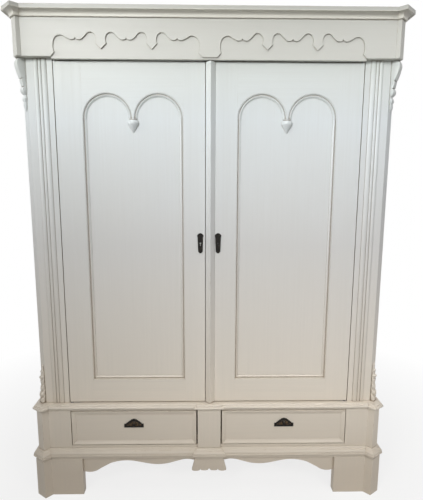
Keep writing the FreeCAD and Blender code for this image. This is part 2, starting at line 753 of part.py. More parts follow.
def crown():
    """Frieze with its sawn overlay, corner blocks, cornice in mitred lengths and top board.

    Between the posts the frieze board hangs down to just above the doors.
    """
    start, prow, corner = CROWN_LINE[-4:-1]
    overlay_back = -CROWN_FRONT + OVERLAY_THICKNESS
    overlay = box(-start[0], start[0], -CROWN_FRONT, overlay_back, CROWN_BOTTOM, CROWN_TOP)
    sawn = scallop_cut()
    sawn.translate(V(SCALLOP_CENTRE, 0, CROWN_BOTTOM))
    node("scalloped_overlay", overlay.cut(sawn).cut(mirrored(sawn)))
    low = CROWN_BOTTOM - FRIEZE_DROP
    board = [
        (-start[0], CROWN_TOP), (-start[0], CROWN_BOTTOM),
        (-DOOR_OUTER, CROWN_BOTTOM), (-DOOR_OUTER, low), (DOOR_OUTER, low), (DOOR_OUTER, CROWN_BOTTOM),
        (start[0], CROWN_BOTTOM), (start[0], CROWN_TOP),
    ]
    node("frieze_board", front_block(board, overlay_back, FRIEZE_BOARD_BACK))

    plan = [
        start, prow, corner, (CROWN_HALF_WIDTH, POST_DEPTH), (BODY_HALF_WIDTH, POST_DEPTH),
        (BODY_HALF_WIDTH, FRIEZE_BOARD_BACK), (start[0], FRIEZE_BOARD_BACK),
    ]
    block = plan_block(plan, CROWN_BOTTOM, CROWN_TOP)
    side = box(
        BODY_HALF_WIDTH, CROWN_HALF_WIDTH, POST_DEPTH, BODY_BACK, CROWN_BOTTOM, CROWN_TOP,
    )
    rail = box(
        -BODY_HALF_WIDTH, BODY_HALF_WIDTH, BODY_BACK - CARCASS_BOARD, BODY_BACK,
        CROWN_BOTTOM + CARCASS_BOARD, CROWN_TOP,
    )
    node("frieze_box", block, mirrored(block), side, mirrored(side), rail)

    z = CROWN_TOP
    out = CORNICE_PROJECTION
    band = CORNICE_BAND_OUT
    soffit = TOTAL_HEIGHT - CORNICE_FASCIA
    profile = [
        (-MOULDING_BACKING, z), (band, z), (band, z + CORNICE_BAND_HEIGHT),
        ((band + 4.5, soffit - 3.5), (out - 3.5, soffit)),
        (out, soffit), (out, TOTAL_HEIGHT - 2), (out - 2, TOTAL_HEIGHT),
        (-MOULDING_BACKING, TOTAL_HEIGHT),
    ]
    node("cornice_moulding", *mitred_lengths(CROWN_LINE, profile))
    inside = offset_line(CROWN_LINE, -MOULDING_BACKING)
    node("roof_board", plan_block(inside, CROWN_TOP, CROWN_TOP + THIN_BOARD))


crown()


# ---- doors -----------------------------------------------------------------
PIN_DEPTH = 12.0
COLLAR_RADIUS = 5.5
HINGE_PLATE_LENGTH = 36.0
HINGE_PLATE_HALF_WIDTH = 5.0
HINGE_PLATE_THICKNESS = 3.0
LOCK_HEIGHT = 690.0
LOCK_CENTRE_Z = DOOR_BOTTOM + LOCK_HEIGHT
LOCK_BOLT_TRAVEL = 10.0
KEYHOLE_RADIUS = 3.2


def arch_radius(inner, outer):
    """Two equal arches fill the panel opening, with a narrow neck between them."""
    return ((outer - inner) / 2 - ARCH_NECK_HALF) / 2


def arch_rail(inner, outer):
    """Top rail sawn to two round arches, with a rebate behind for the panel."""
    centre, radius, z = (inner + outer) / 2, arch_radius(inner, outer), SPRING_LINE
    path = [
        (inner, DOOR_TOP), (inner, z),
        ((inner + radius, z + radius), (centre - ARCH_NECK_HALF, z)),
        (centre + ARCH_NECK_HALF, z),
        ((outer - radius, z + radius), (outer, z)),
        (outer, DOOR_TOP),
    ]
    rail = front_block(path, 0, DOOR_THICKNESS)
    return rail.cut(panel_rebate(inner, outer))


def panel_block(inner, outer, y0, y1):
    """The panel's outline, which laps behind the frame all round, from y0 back to y1."""
    top = SPRING_LINE + arch_radius(inner, outer) + PANEL_LAP
    return box(inner - PANEL_LAP, outer + PANEL_LAP, y0, y1, PANEL_BOTTOM - PANEL_LAP, top)


def panel_rebate(inner, outer):
    """The step behind the frame that takes the panel's edges."""
    return panel_block(inner, outer, PANEL_RECESS, DOOR_THICKNESS + 1)


def bead_profile(inward):
    """Fillet, slope and steep inner edge, falling from the frame to the panel's face."""
    s = -1 if inward else 1
    top = PANEL_RECESS - 1
    foot = BEAD_WIDTH - 1
    return [
        (0, 0), (s * BEAD_WIDTH, 0), (s * BEAD_WIDTH, 1.2), (s * foot, 1.2),
        (s * (foot - 2), 3.6), (s * (foot - 5), 4.6), (s * 5, 5.8), (s * 2.5, top), (0, top),
    ]


def bead_moulding(inner, outer):
    """Beading round the panel: bottom and sides mitred, arches turned, and the drop."""
    line = [
        (inner, SPRING_LINE), (inner, PANEL_BOTTOM), (outer, PANEL_BOTTOM), (outer, SPRING_LINE),
    ]
    radius = arch_radius(inner, outer)
    pieces = stood_up(mitred_lengths(line, bead_profile(True)), PANEL_RECESS)
    for centre in (inner + radius, outer - radius):

        def place(inset, height):
            return V(centre + radius - inset, PANEL_RECESS - height, SPRING_LINE)

        section = outline(bead_profile(False), place)
        pieces.append(section.revolve(V(centre, 0, SPRING_LINE), V(0, -1, 0), 180))
    pieces.append(pendant((inner + outer) / 2))
    return pieces


PENDANT_AXIS_DEPTH = 2.0


def pendant(centre):
    """Turned drop like a spinning top below the neck, split where it lies on the panel."""
    z = SPRING_LINE
    half_section = [
        (0, z), (13.5, z), (13.5, z - 2.5), (12, z - 3), (12, z - 4.5), (17, z - 5.5),
        ((22, z - 15), (20.5, z - 22)),
        (1.5, z - 55.5), (0, z - 56.5),
    ]
    drop = outline(half_section, in_front).revolve(V(0, 0, 0), V(0, 0, 1), 360)
    drop.translate(V(centre, PANEL_RECESS + PENDANT_AXIS_DEPTH, 0))
    front = box(
        centre - DOOR_THICKNESS, centre + DOOR_THICKNESS, -DOOR_THICKNESS, PANEL_RECESS,
        PANEL_BOTTOM, SPRING_LINE + 1,
    )
    return drop.common(front).Solids[0]


def hinge_plate(bottom):
    """Plate let flush into the end of the outer stile, with the hole for the pivot pin."""
    z = DOOR_BOTTOM if bottom else DOOR_TOP - HINGE_PLATE_THICKNESS
    plate = box(
        DOOR_OUTER - HINGE_PLATE_LENGTH, DOOR_OUTER,
        PIVOT_INSET - HINGE_PLATE_HALF_WIDTH, PIVOT_INSET + HINGE_PLATE_HALF_WIDTH,
        z, z + HINGE_PLATE_THICKNESS,
    )
    return plate


def pin_bores():
    """Bores at both ends of the outer stile for the pivot pins."""
    radius = PIN_RADIUS + PIN_FIT
    depth = PIN_DEPTH + 1
    low = rod(radius, (PIVOT_X, PIVOT_INSET, DOOR_BOTTOM - 1), (0, 0, 1), depth + 1)
    high = rod(radius, (PIVOT_X, PIVOT_INSET, DOOR_TOP - depth), (0, 0, 1), depth + 1)
    return low.fuse(high)


def keyhole(x, z, y0, y1):
    """Round hole with a slot below it."""
    hole = rod(KEYHOLE_RADIUS, (x, y0, z), (0, 1, 0), y1 - y0)
    slot = box(x - 1.3, x + 1.3, y0, y1, z - 11, z)
    return hole.fuse(slot)


def door(side, meeting, meeting_stile, outer_stile):
    """Frame, panel and bead of one door, drawn on the right and mirrored for the left."""
    turn = mirrored if side == "left" else (lambda shape: shape)
    inner = meeting + meeting_stile
    outer = DOOR_OUTER - outer_stile
    rebate = panel_rebate(inner, outer)
    bores = pin_bores()
    plates = [hinge_plate(True), hinge_plate(False)]
    hung = box(outer, DOOR_OUTER, 0, DOOR_THICKNESS, DOOR_BOTTOM, DOOR_TOP)
    hung = hung.cut(rebate).cut(bores).cut(plates[0]).cut(plates[1])
    free = box(meeting, inner, 0, DOOR_THICKNESS, DOOR_BOTTOM, DOOR_TOP).cut(rebate)
    for cutter in meeting_stile_cuts(side, meeting):
        free = free.cut(cutter)
    node(side + "_door_stiles", turn(hung), turn(free))
    bottom = box(inner, outer, 0, DOOR_THICKNESS, DOOR_BOTTOM, PANEL_BOTTOM)
    node(side + "_door_rails", turn(bottom.cut(rebate)), turn(arch_rail(inner, outer)))
    panel = panel_block(inner, outer, PANEL_RECESS, PANEL_RECESS + PANEL_THICKNESS)
    node(side + "_door_panel", turn(panel))
    node(side + "_door_beading", *[turn(piece) for piece in bead_moulding(inner, outer)])
    node(side + "_door_hinge_plates", *[turn(plate.cut(bores)) for plate in plates])


LOCK_LENGTH = 58.0
LOCK_FRONT = 6.0
LOCK_THICKNESS = 12.0
LOCK_HALF_HEIGHT = 40.0
LOCK_BOLT_Z = LOCK_CENTRE_Z + 16.0
LOCK_BOLT_LENGTH = 32.0
LOCK_BOLT_HALF_HEIGHT = 10.0
LOCK_BOLT_THICKNESS = 7.0
ESCUTCHEON_THICKNESS = 2.5
ASTRAGAL_WIDTH = 36.5
ASTRAGAL_FILLET = 3.0
PLATE_HALF_WIDTH = 13.0
PLATE_HALF_HEIGHT = 41.5
RIGHT_PLATE_X = 35.2
LEFT_PLATE_X = 37.0


def lock_bolt_space(extra, length, x):
    """The bolt's own block, or the channel round it when extra is the clearance."""
    middle = LOCK_FRONT + LOCK_THICKNESS / 2
    half = LOCK_BOLT_THICKNESS / 2 + extra
    tall = LOCK_BOLT_HALF_HEIGHT + extra
    return box(x, x + length, middle - half, middle + half, LOCK_BOLT_Z - tall, LOCK_BOLT_Z + tall)


def lock_case():
    return box(
        RIGHT_DOOR_MEETING, RIGHT_DOOR_MEETING + LOCK_LENGTH,
        LOCK_FRONT, LOCK_FRONT + LOCK_THICKNESS,
        LOCK_CENTRE_Z - LOCK_HALF_HEIGHT, LOCK_CENTRE_Z + LOCK_HALF_HEIGHT,
    )


def meeting_stile_cuts(side, meeting):
    """Mortise and keyhole in the right stile, and the bolt's mortise in the left one."""
    if side == "right":
        return [lock_case(), keyhole(RIGHT_PLATE_X, LOCK_CENTRE_Z, -1, LOCK_FRONT + 1)]
    depth = LOCK_BOLT_TRAVEL + 2 - (RIGHT_DOOR_MEETING - LEFT_DOOR_MEETING)
    return [lock_bolt_space(1.0, depth + 1, meeting - 1)]


door("right", RIGHT_DOOR_MEETING, RIGHT_MEETING_STILE, RIGHT_OUTER_STILE)
door("left", -LEFT_DOOR_MEETING, LEFT_MEETING_STILE, LEFT_OUTER_STILE)


def astragal():
    """Prow-shaped strip on the right door that stands over the joint between the doors."""
    x0 = RIGHT_DOOR_MEETING
    x1 = x0 + ASTRAGAL_WIDTH
    ridge = ASTRAGAL_FILLET + ASTRAGAL_WIDTH / 2
    plan = [
        (x0, 0), (x0, -ASTRAGAL_FILLET), ((x0 + x1) / 2, -ridge), (x1, -ASTRAGAL_FILLET), (x1, 0),
    ]
    node("astragal", plan_block(plan, DOOR_BOTTOM, DOOR_TOP))


astragal()


def lock():
    """Mortise lock in the right door, and its sliding bolt, drawn back."""
    channel = lock_bolt_space(REST_GAP, LOCK_BOLT_LENGTH + 6, RIGHT_DOOR_MEETING - 1)
    case = lock_case().cut(channel)
    case = case.cut(keyhole(RIGHT_PLATE_X, LOCK_CENTRE_Z, LOCK_FRONT - 1, LOCK_FRONT + 5))
    node("right_door_lock", case)
    node("right_door_lock_bolt", lock_bolt_space(0, LOCK_BOLT_LENGTH, RIGHT_DOOR_MEETING))


lock()


def door_escutcheons():
    """Tapered iron plates with a pointed dome on shoulders and a blunt foot."""
    w, h = PLATE_HALF_WIDTH, PLATE_HALF_HEIGHT
    half = [
        (0, -h), (3, -h), (w - 3.8, 7 - h), (w - 1.5, h - 14.5), (w, h - 14), (w, h - 9),
        ((w - 5, h - 3.5), (0, h)),
    ]
    right, left = both_ways(half)
    plate = front_block(right + left[1:-1], -ESCUTCHEON_THICKNESS, 0)
    plate.translate(V(RIGHT_PLATE_X, 0, LOCK_CENTRE_Z))
    plate = plate.cut(keyhole(RIGHT_PLATE_X, LOCK_CENTRE_Z, -ESCUTCHEON_THICKNESS - 1, 1))
    node("right_door_escutcheon", plate)
    twin = plate.copy()
    twin.translate(V(-LEFT_PLATE_X - RIGHT_PLATE_X, 0, 0))
    node("left_door_escutcheon", twin)


door_escutcheons()


def hinge_pins():
    """Shouldered pivot pins driven into the waist board and the top board."""
    gap = REST_GAP
    low_collar = GAP_UNDER_DOOR - gap
    low = rod(SPIKE_RADIUS, (PIVOT_X, PIVOT_INSET, LEDGE - SPIKE_DEPTH + 1), (0, 0, 1), SPIKE_DEPTH)
    low = low.fuse(rod(COLLAR_RADIUS, (PIVOT_X, PIVOT_INSET, LEDGE), (0, 0, 1), low_collar))
    low = low.fuse(rod(
        PIN_RADIUS, (PIVOT_X, PIVOT_INSET, LEDGE), (0, 0, 1), GAP_UNDER_DOOR + PIN_DEPTH,
    ))
    high_collar = OVER_DOOR - gap
    top = CROWN_BOTTOM
    high = rod(SPIKE_RADIUS, (PIVOT_X, PIVOT_INSET, top - 1), (0, 0, 1), SPIKE_DEPTH)
    high = high.fuse(rod(
        COLLAR_RADIUS, (PIVOT_X, PIVOT_INSET, top - high_collar), (0, 0, 1), high_collar,
    ))
    high = high.fuse(rod(
        PIN_RADIUS, (PIVOT_X, PIVOT_INSET, DOOR_TOP - PIN_DEPTH), (0, 0, 1), OVER_DOOR + PIN_DEPTH,
    ))
    pins = [low.removeSplitter().Solids[0], high.removeSplitter().Solids[0]]
    node("hinge_pins", *pins, *[mirrored(pin) for pin in pins])


hinge_pins()

SURFACE_BOLT_LENGTH = 172.0
SURFACE_BOLT_REST = 2.0
GUIDE_HALF_WIDTH = 9.0
GUIDE_HEIGHT = 12.0
GUIDE_INSET = 20.0
KNOB_RADIUS = 5.0
KNOB_REACH = 16.0


def surface_bolts():
    """Two bolts on the back of the left door, drawn back, each in a pair of staples."""
    x, y = -SURFACE_BOLT_X, SURFACE_BOLT_Y
    staples = []
    for name, low in (
        ("left_door_upper_bolt", DOOR_TOP - SURFACE_BOLT_REST - SURFACE_BOLT_LENGTH),
        ("left_door_lower_bolt", DOOR_BOTTOM + SURFACE_BOLT_REST),
    ):
        bar = rod(BOLT_RADIUS, (x, y, low), (0, 0, 1), SURFACE_BOLT_LENGTH)
        middle = low + SURFACE_BOLT_LENGTH / 2
        knob = rod(KNOB_RADIUS, (x, y, middle), (0, 1, 0), KNOB_REACH)
        node(name, bar.fuse(knob).removeSplitter().Solids[0])
        for z in (low + GUIDE_INSET, low + SURFACE_BOLT_LENGTH - GUIDE_INSET - GUIDE_HEIGHT):
            block = box(
                x - GUIDE_HALF_WIDTH, x + GUIDE_HALF_WIDTH,
                DOOR_THICKNESS, y + BOLT_RADIUS + 2, z, z + GUIDE_HEIGHT,
            )
            hole = rod(BOLT_RADIUS + BOLT_FIT, (x, y, z - 1), (0, 0, 1), GUIDE_HEIGHT + 2)
            staples.append(block.cut(hole))
    node("left_door_bolt_staples", *staples)


surface_bolts()


# ---- drawers ---------------------------------------------------------------
RUNNER_TOP = DRAWER_LOW + 1.0
BOX_INSET = 10.0
BOX_TOP = DRAWER_HIGH - 14.0
BOX_BOTTOM_RISE = 8.0
DRAWER_LOCK_HALF = 30.0
DRAWER_LOCK_HEIGHT = 74.0
DRAWER_BOLT_LENGTH = 26.0
DRAWER_KEYHOLE_Z = DRAWER_HIGH - 52.0
DRAWER_PLATE_Z = DRAWER_HIGH - 57.0
DRAWER_PLATE_HALF_WIDTH = 42.0
DRAWER_PLATE_HALF_HEIGHT = 20.0
DRAWER_PLATE_POST = 8.0
DRAWER_PLATE_LOBES = 4


def drawer(side):
    """Front with a mitred frame, dovetailed box, lock and pediment plate."""
    turn = mirrored if side == "left" else (lambda shape: shape)
    front_back = DRAWER_BACK_FACE
    front = box(DRAWER_LEFT, DRAWER_RIGHT, -DRAWER_FACE, front_back, DRAWER_LOW, DRAWER_HIGH)
    front = front.cut(keyhole(DRAWER_LOCK_X, DRAWER_KEYHOLE_Z, -DRAWER_FACE - 1, front_back + 1))
    node(side + "_drawer_front", turn(front))

    line = [
        (DRAWER_LEFT, DRAWER_LOW), (DRAWER_RIGHT, DRAWER_LOW),
        (DRAWER_RIGHT, DRAWER_HIGH), (DRAWER_LEFT, DRAWER_HIGH),
    ]
    high, wide = DRAWER_FRAME_HEIGHT, DRAWER_FRAME_WIDTH
    profile = [
        (-wide, 0), (0, 0), (0, high - 1), (-1, high), (-4, high),
        ((-wide / 2 - 1.5, high / 2), (-wide + 2, 1.5)),
        (-wide, 1.5),
    ]
    frame = stood_up(mitred_lengths(line, profile, True), -DRAWER_FACE)
    node(side + "_drawer_frame", *[turn(piece) for piece in frame])

    left, right = DRAWER_LEFT + BOX_INSET, DRAWER_RIGHT - BOX_INSET
    low = RUNNER_TOP + REST_GAP
    floor = low + BOX_BOTTOM_RISE
    back = DRAWER_BOX_BACK
    pieces = [
        box(left, left + DRAWER_SIDE, front_back, back, low, BOX_TOP),
        box(right - DRAWER_SIDE, right, front_back, back, low, BOX_TOP),
        box(left + DRAWER_SIDE, right - DRAWER_SIDE, back - DRAWER_SIDE, back, floor, BOX_TOP),
        box(
            left + DRAWER_SIDE, right - DRAWER_SIDE, front_back, back - DRAWER_SIDE,
            floor, floor + DRAWER_BOTTOM,
        ),
    ]
    node(side + "_drawer_box", *[turn(piece) for piece in pieces])

    drawer_lock(side, turn)
    node(side + "_drawer_escutcheon", turn(drawer_plate()))


def drawer_lock(side, turn):
    """Lock on the back of the drawer front, with a bolt that rises into the waist board."""
    y = DRAWER_BACK_FACE
    case = box(
        DRAWER_LOCK_X - DRAWER_LOCK_HALF, DRAWER_LOCK_X + DRAWER_LOCK_HALF,
        y, y + DRAWER_LOCK_THICKNESS, DRAWER_HIGH - DRAWER_LOCK_HEIGHT, DRAWER_HIGH,
    )
    bolt_low = DRAWER_HIGH - DRAWER_BOLT_LENGTH
    bolt = drawer_bolt_space(0, bolt_low, DRAWER_BOLT_LENGTH)
    channel = drawer_bolt_space(REST_GAP, bolt_low - 4, DRAWER_BOLT_LENGTH + 5)
    case = case.cut(channel).cut(keyhole(DRAWER_LOCK_X, DRAWER_KEYHOLE_Z, y - 1, y + 5))
    node(side + "_drawer_lock", turn(case))
    node(side + "_drawer_lock_bolt", turn(bolt))


def drawer_plate():
    """Pediment plate: a post at each end, lobes up the slopes and a round top."""
    w, h = DRAWER_PLATE_HALF_WIDTH, DRAWER_PLATE_HALF_HEIGHT
    shoulder = -0.15 * h
    x, z = w - DRAWER_PLATE_POST, shoulder
    half = [(0, -h), (w, -h), (w, shoulder), (x, z)]
    run = 0.8 * x / DRAWER_PLATE_LOBES
    rise = 0.9 * (h - shoulder) / DRAWER_PLATE_LOBES
    for i in range(DRAWER_PLATE_LOBES):
        half.append(((x - 0.2 * run, z + 0.8 * rise), (x - run, z + rise)))
        x -= run
        z += rise
    half.append(((0.6 * x, h - 0.5), (0, h)))
    right, left = both_ways(half)
    face = -DRAWER_FACE
    plate = front_block(right + left[1:-1], face - ESCUTCHEON_THICKNESS, face)
    plate.translate(V(DRAWER_LOCK_X, 0, DRAWER_PLATE_Z))
    hole = keyhole(DRAWER_LOCK_X, DRAWER_KEYHOLE_Z, face - ESCUTCHEON_THICKNESS - 1, face + 1)
    return plate.cut(hole)


RUNNER_UNDER_BOX = 24.0
GUIDE_WIDTH = 15.0
GUIDE_GAP = 1.0
GUIDE_RISE = 26.0


def runners():
    """Runner under each drawer side and a guide beside it, on the dust board."""
    front = -BASE_FRONT + FRAME_BOARD + REST_GAP
    back = CASE_BACK - CARCASS_BOARD - REST_GAP
    strips = []
    for edge, out in ((DRAWER_LEFT + BOX_INSET, -1), (DRAWER_RIGHT - BOX_INSET, 1)):
        near = edge + out * GUIDE_GAP
        far = near + out * GUIDE_WIDTH
        under = edge - out * RUNNER_UNDER_BOX
        strips.append(box(min(under, far), max(under, far), front, back, PLINTH_TOP, RUNNER_TOP))
        strips.append(box(
            min(near, far), max(near, far), front, back, RUNNER_TOP, RUNNER_TOP + GUIDE_RISE,
        ))
    node("drawer_runners", *strips, *[mirrored(strip) for strip in strips])


drawer("right")
drawer("left")
runners()


# ---- files -----------------------------------------------------------------
os.makedirs("parts", exist_ok=True)
for name, shape in NODES.items():
    shape.translate(V(0, -ORIGIN_Y, 0))
    shape.exportStep("parts/" + name + ".step")
print(len(NODES), "sub-parts, height", TOTAL_HEIGHT, "origin shift", round(ORIGIN_Y, 4))
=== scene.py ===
"""A painted two-door cupboard with a scalloped frieze, on a base with two drawers.

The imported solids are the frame. Each one is dressed in turn, from the feet up:
edges eased as a joiner's plane leaves them, paint with its brush marks, bare pine
inside, carved leaves on the corners, iron plates and steel locks. Lengths in metres.
"""
import json
import math

import bmesh
import bpy
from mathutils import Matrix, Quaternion, Vector

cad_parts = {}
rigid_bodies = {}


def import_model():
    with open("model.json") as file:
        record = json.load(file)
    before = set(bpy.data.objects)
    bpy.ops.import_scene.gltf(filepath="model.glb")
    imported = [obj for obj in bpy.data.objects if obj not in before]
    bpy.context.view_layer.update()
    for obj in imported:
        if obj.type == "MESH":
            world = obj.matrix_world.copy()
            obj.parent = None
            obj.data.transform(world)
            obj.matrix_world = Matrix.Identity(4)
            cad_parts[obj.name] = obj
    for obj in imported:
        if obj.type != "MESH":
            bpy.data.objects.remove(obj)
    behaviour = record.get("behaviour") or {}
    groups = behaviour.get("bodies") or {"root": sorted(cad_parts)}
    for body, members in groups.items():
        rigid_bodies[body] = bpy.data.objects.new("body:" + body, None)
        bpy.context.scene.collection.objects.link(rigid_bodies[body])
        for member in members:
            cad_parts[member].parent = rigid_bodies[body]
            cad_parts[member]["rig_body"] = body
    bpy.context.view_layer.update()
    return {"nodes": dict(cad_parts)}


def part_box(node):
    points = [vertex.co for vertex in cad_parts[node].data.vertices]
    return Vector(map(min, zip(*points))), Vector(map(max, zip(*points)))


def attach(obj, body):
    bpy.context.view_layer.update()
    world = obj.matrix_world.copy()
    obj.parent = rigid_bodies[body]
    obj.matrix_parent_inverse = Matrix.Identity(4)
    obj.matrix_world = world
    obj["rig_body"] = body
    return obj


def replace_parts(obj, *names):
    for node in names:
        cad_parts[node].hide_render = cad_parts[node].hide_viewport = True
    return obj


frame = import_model()


# ---- where it is seen from ---------------------------------------------------
# A person of average height stands close in front, a little left of the middle,
# and looks slightly down.

door_face_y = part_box("left_door_stiles")[0].y

camera_data = bpy.data.cameras.new("viewer")
camera_data.sensor_width = 36.0
camera_data.lens = 30.24
camera = bpy.data.objects.new("viewer", camera_data)
camera.rotation_mode = "QUATERNION"
camera.location = (-0.0202, door_face_y - 1.6996, 1.348)
bpy.context.scene.collection.objects.link(camera)

look_down = math.radians(8.83)
look_right = math.radians(0.97)
tilt = math.radians(-0.15)
gaze = Vector((
    math.sin(look_right) * math.cos(look_down),
    math.cos(look_right) * math.cos(look_down),
    -math.sin(look_down),
))
camera.rotation_quaternion = Quaternion(gaze, tilt) @ gaze.to_track_quat("-Z", "Y")
bpy.context.scene.camera = camera


# ---- floor, backdrop and light -----------------------------------------------
# A pale room: white floor that keeps a soft shadow, white all round, a window in
# front on the left, two lamps above, a weak one at each side and one low right.

scene = bpy.context.scene
scene.view_settings.view_transform = "Standard"

FLOOR_GLOW = 0.80
SHADOW_REACH = 0.75
ALL_WHITE_FROM = 2.0
ROOM_LIGHT = 0.18


def seen_or_mirrored(tree):
    """1 for rays from the camera, a mirror or glass, and 0 for light itself."""
    path = tree.nodes.new("ShaderNodeLightPath")
    first = tree.nodes.new("ShaderNodeMath")
    first.operation = "MAXIMUM"
    second = tree.nodes.new("ShaderNodeMath")
    second.operation = "MAXIMUM"
    tree.links.new(path.outputs["Is Camera Ray"], first.inputs[0])
    tree.links.new(path.outputs["Is Glossy Ray"], first.inputs[1])
    tree.links.new(first.outputs[0], second.inputs[0])
    tree.links.new(path.outputs["Is Transmission Ray"], second.inputs[1])
    return second.outputs[0]


room = bpy.data.worlds.new("room")
room.use_nodes = True
tree = room.node_tree
tree.nodes.clear()
strength = tree.nodes.new("ShaderNodeMapRange")
strength.inputs["To Min"].default_value = ROOM_LIGHT
strength.inputs["To Max"].default_value = 1.0
tree.links.new(seen_or_mirrored(tree), strength.inputs["Value"])
background = tree.nodes.new("ShaderNodeBackground")
background.inputs["Color"].default_value = (1.0, 1.0, 1.0, 1.0)
tree.links.new(strength.outputs["Result"], background.inputs["Strength"])
output = tree.nodes.new("ShaderNodeOutputWorld")
tree.links.new(background.outputs[0], output.inputs["Surface"])
scene.world = room

floor_paint = bpy.data.materials.new("white_floor")
floor_paint.use_nodes = True
tree = floor_paint.node_tree
tree.nodes.clear()
matt = tree.nodes.new("ShaderNodeBsdfDiffuse")
matt.inputs["Color"].default_value = (0.80, 0.78, 0.75, 1.0)
glow = tree.nodes.new("ShaderNodeEmission")
away = tree.nodes.new("ShaderNodeVectorMath")
away.operation = "LENGTH"
tree.links.new(tree.nodes.new("ShaderNodeTexCoord").outputs["Object"], away.inputs[0])
fade = tree.nodes.new("ShaderNodeMapRange")
for key, number in (
    ("From Min", SHADOW_REACH), ("From Max", ALL_WHITE_FROM), ("To Min", FLOOR_GLOW), ("To Max", 1.0),
):
    fade.inputs[key].default_value = number
tree.links.new(away.outputs["Value"], fade.inputs["Value"])
share = tree.nodes.new("ShaderNodeMath")
share.operation = "MULTIPLY"
tree.links.new(fade.outputs["Result"], share.inputs[1])
tree.links.new(seen_or_mirrored(tree), share.inputs[0])
mix = tree.nodes.new("ShaderNodeMixShader")
tree.links.new(share.outputs[0], mix.inputs["Fac"])
tree.links.new(matt.outputs[0], mix.inputs[1])
tree.links.new(glow.outputs[0], mix.inputs[2])
output = tree.nodes.new("ShaderNodeOutputMaterial")
tree.links.new(mix.outputs[0], output.inputs["Surface"])

FLOOR_HALF = 9.0
floor_mesh = bpy.data.meshes.new("floor")
floor_mesh.from_pydata(
    [(-FLOOR_HALF, -FLOOR_HALF, 0), (FLOOR_HALF, -FLOOR_HALF, 0),
     (FLOOR_HALF, FLOOR_HALF, 0), (-FLOOR_HALF, FLOOR_HALF, 0)], [], [(0, 1, 2, 3)])
floor_mesh.materials.append(floor_paint)
floor = bpy.data.objects.new("floor", floor_mesh)
scene.collection.objects.link(floor)


def lamp(name, place, aim, size, watts, tint=(1.0, 1.0, 1.0), spread=180.0):
    """A soft oblong lamp. spread is how wide its beam opens, in degrees."""
    data = bpy.data.lights.new(name, "AREA")
    data.shape = "RECTANGLE"
    data.size, data.size_y = size
    data.energy = watts
    data.color = tint
    data.spread = math.radians(spread)
    body = bpy.data.objects.new(name, data)
    body.rotation_mode = "QUATERNION"
    body.location = place
    body.rotation_quaternion = (Vector(aim) - Vector(place)).to_track_quat("-Z", "Y")
    scene.collection.objects.link(body)


lamp("window_lamp", (-1.3, -2.7, 2.7), (0.35, 0.0, 1.4), (1.0, 1.0), 12.4, (0.98, 1.0, 1.0), 80.0)
lamp("ceiling_lamp", (0.35, -1.2, 3.2), (0.35, -0.2, 1.0), (1.8, 0.6), 2.6)
lamp("overhead_lamp", (0.0, -1.0, 3.7), (0.0, -0.45, 0.6), (1.6, 0.5), 2.4, spread=90.0)
lamp("left_lamp", (-2.7, -0.9, 2.1), (-0.75, -0.2, 1.85), (0.6, 0.6), 1.2, spread=52.0)
lamp("right_lamp", (1.7, -1.7, 2.6), (0.70, -0.25, 1.97), (0.5, 0.5), 0.44, spread=40.0)
lamp("fill_lamp", (1.5, -2.2, 1.9), (0.45, -0.2, 0.35), (0.7, 0.7), 3.2, (0.99, 0.99, 1.0), 70.0)


# ---- base: feet, apron, drop, plinth and drawer case ---------------------------
# Softwood boards, glued and nailed, mouldings planed on and mitred round the
# corners, all brushed with a satin oil paint, darker and warmer near the floor:
# partly paint yellowed by dirt, partly painted shade.

GRAIN_ALONG = 0.9
GRAIN_ACROSS = 46.0
RAMP_TOP = 2.0


def scaled(tree, source, scale):
    mapping = tree.nodes.new("ShaderNodeMapping")
    mapping.inputs["Scale"].default_value = scale
    tree.links.new(source, mapping.inputs["Vector"])
    return mapping.outputs[0]


def noise(tree, vector, scale, detail, roughness=0.5):
    texture = tree.nodes.new("ShaderNodeTexNoise")
    texture.inputs["Scale"].default_value = scale
    texture.inputs["Detail"].default_value = detail
    texture.inputs["Roughness"].default_value = roughness
    tree.links.new(vector, texture.inputs["Vector"])
    return texture.outputs["Fac"]


def ranged(tree, value, low, high, to_low=0.0, to_high=1.0):
    node = tree.nodes.new("ShaderNodeMapRange")
    for key, number in (
        ("From Min", low), ("From Max", high), ("To Min", to_low), ("To Max", to_high),
    ):
        node.inputs[key].default_value = number
    tree.links.new(value, node.inputs["Value"])
    return node.outputs["Result"]


def product(tree, first, second):
    node = tree.nodes.new("ShaderNodeMath")
    node.operation = "MULTIPLY"
    tree.links.new(first, node.inputs[0])
    tree.links.new(second, node.inputs[1])
    return node.outputs[0]


def blended(tree, share, low, high):
    """Mix of two colours, each a fixed colour or a socket. share is a socket."""
    node = tree.nodes.new("ShaderNodeMix")
    node.data_type = "RGBA"
    for key, colour in (("A", low), ("B", high)):
        socket = [s for s in node.inputs if s.name == key and s.type == "RGBA"][0]
        if isinstance(colour, tuple):
            socket.default_value = (*colour, 1.0)
        else:
            tree.links.new(colour, socket)
    factor = [s for s in node.inputs if s.name == "Factor" and s.type == "VALUE"][0]
    tree.links.new(share, factor)
    return [s for s in node.outputs if s.type == "RGBA"][0]


def relief(tree, height, strength, distance, under=None):
    node = tree.nodes.new("ShaderNodeBump")
    node.inputs["Strength"].default_value = strength
    node.inputs["Distance"].default_value = distance
    tree.links.new(height, node.inputs["Height"])
    if under:
        tree.links.new(under, node.inputs["Normal"])
    return node.outputs[0]


def along_grain(tree, grain):
    """Places on the piece, and the same drawn out along the grain."""
    place = tree.nodes.new("ShaderNodeTexCoord").outputs["Object"]
    along = [GRAIN_ACROSS] * 3
    along["xyz".index(grain)] = GRAIN_ALONG
    return place, scaled(tree, place, along)
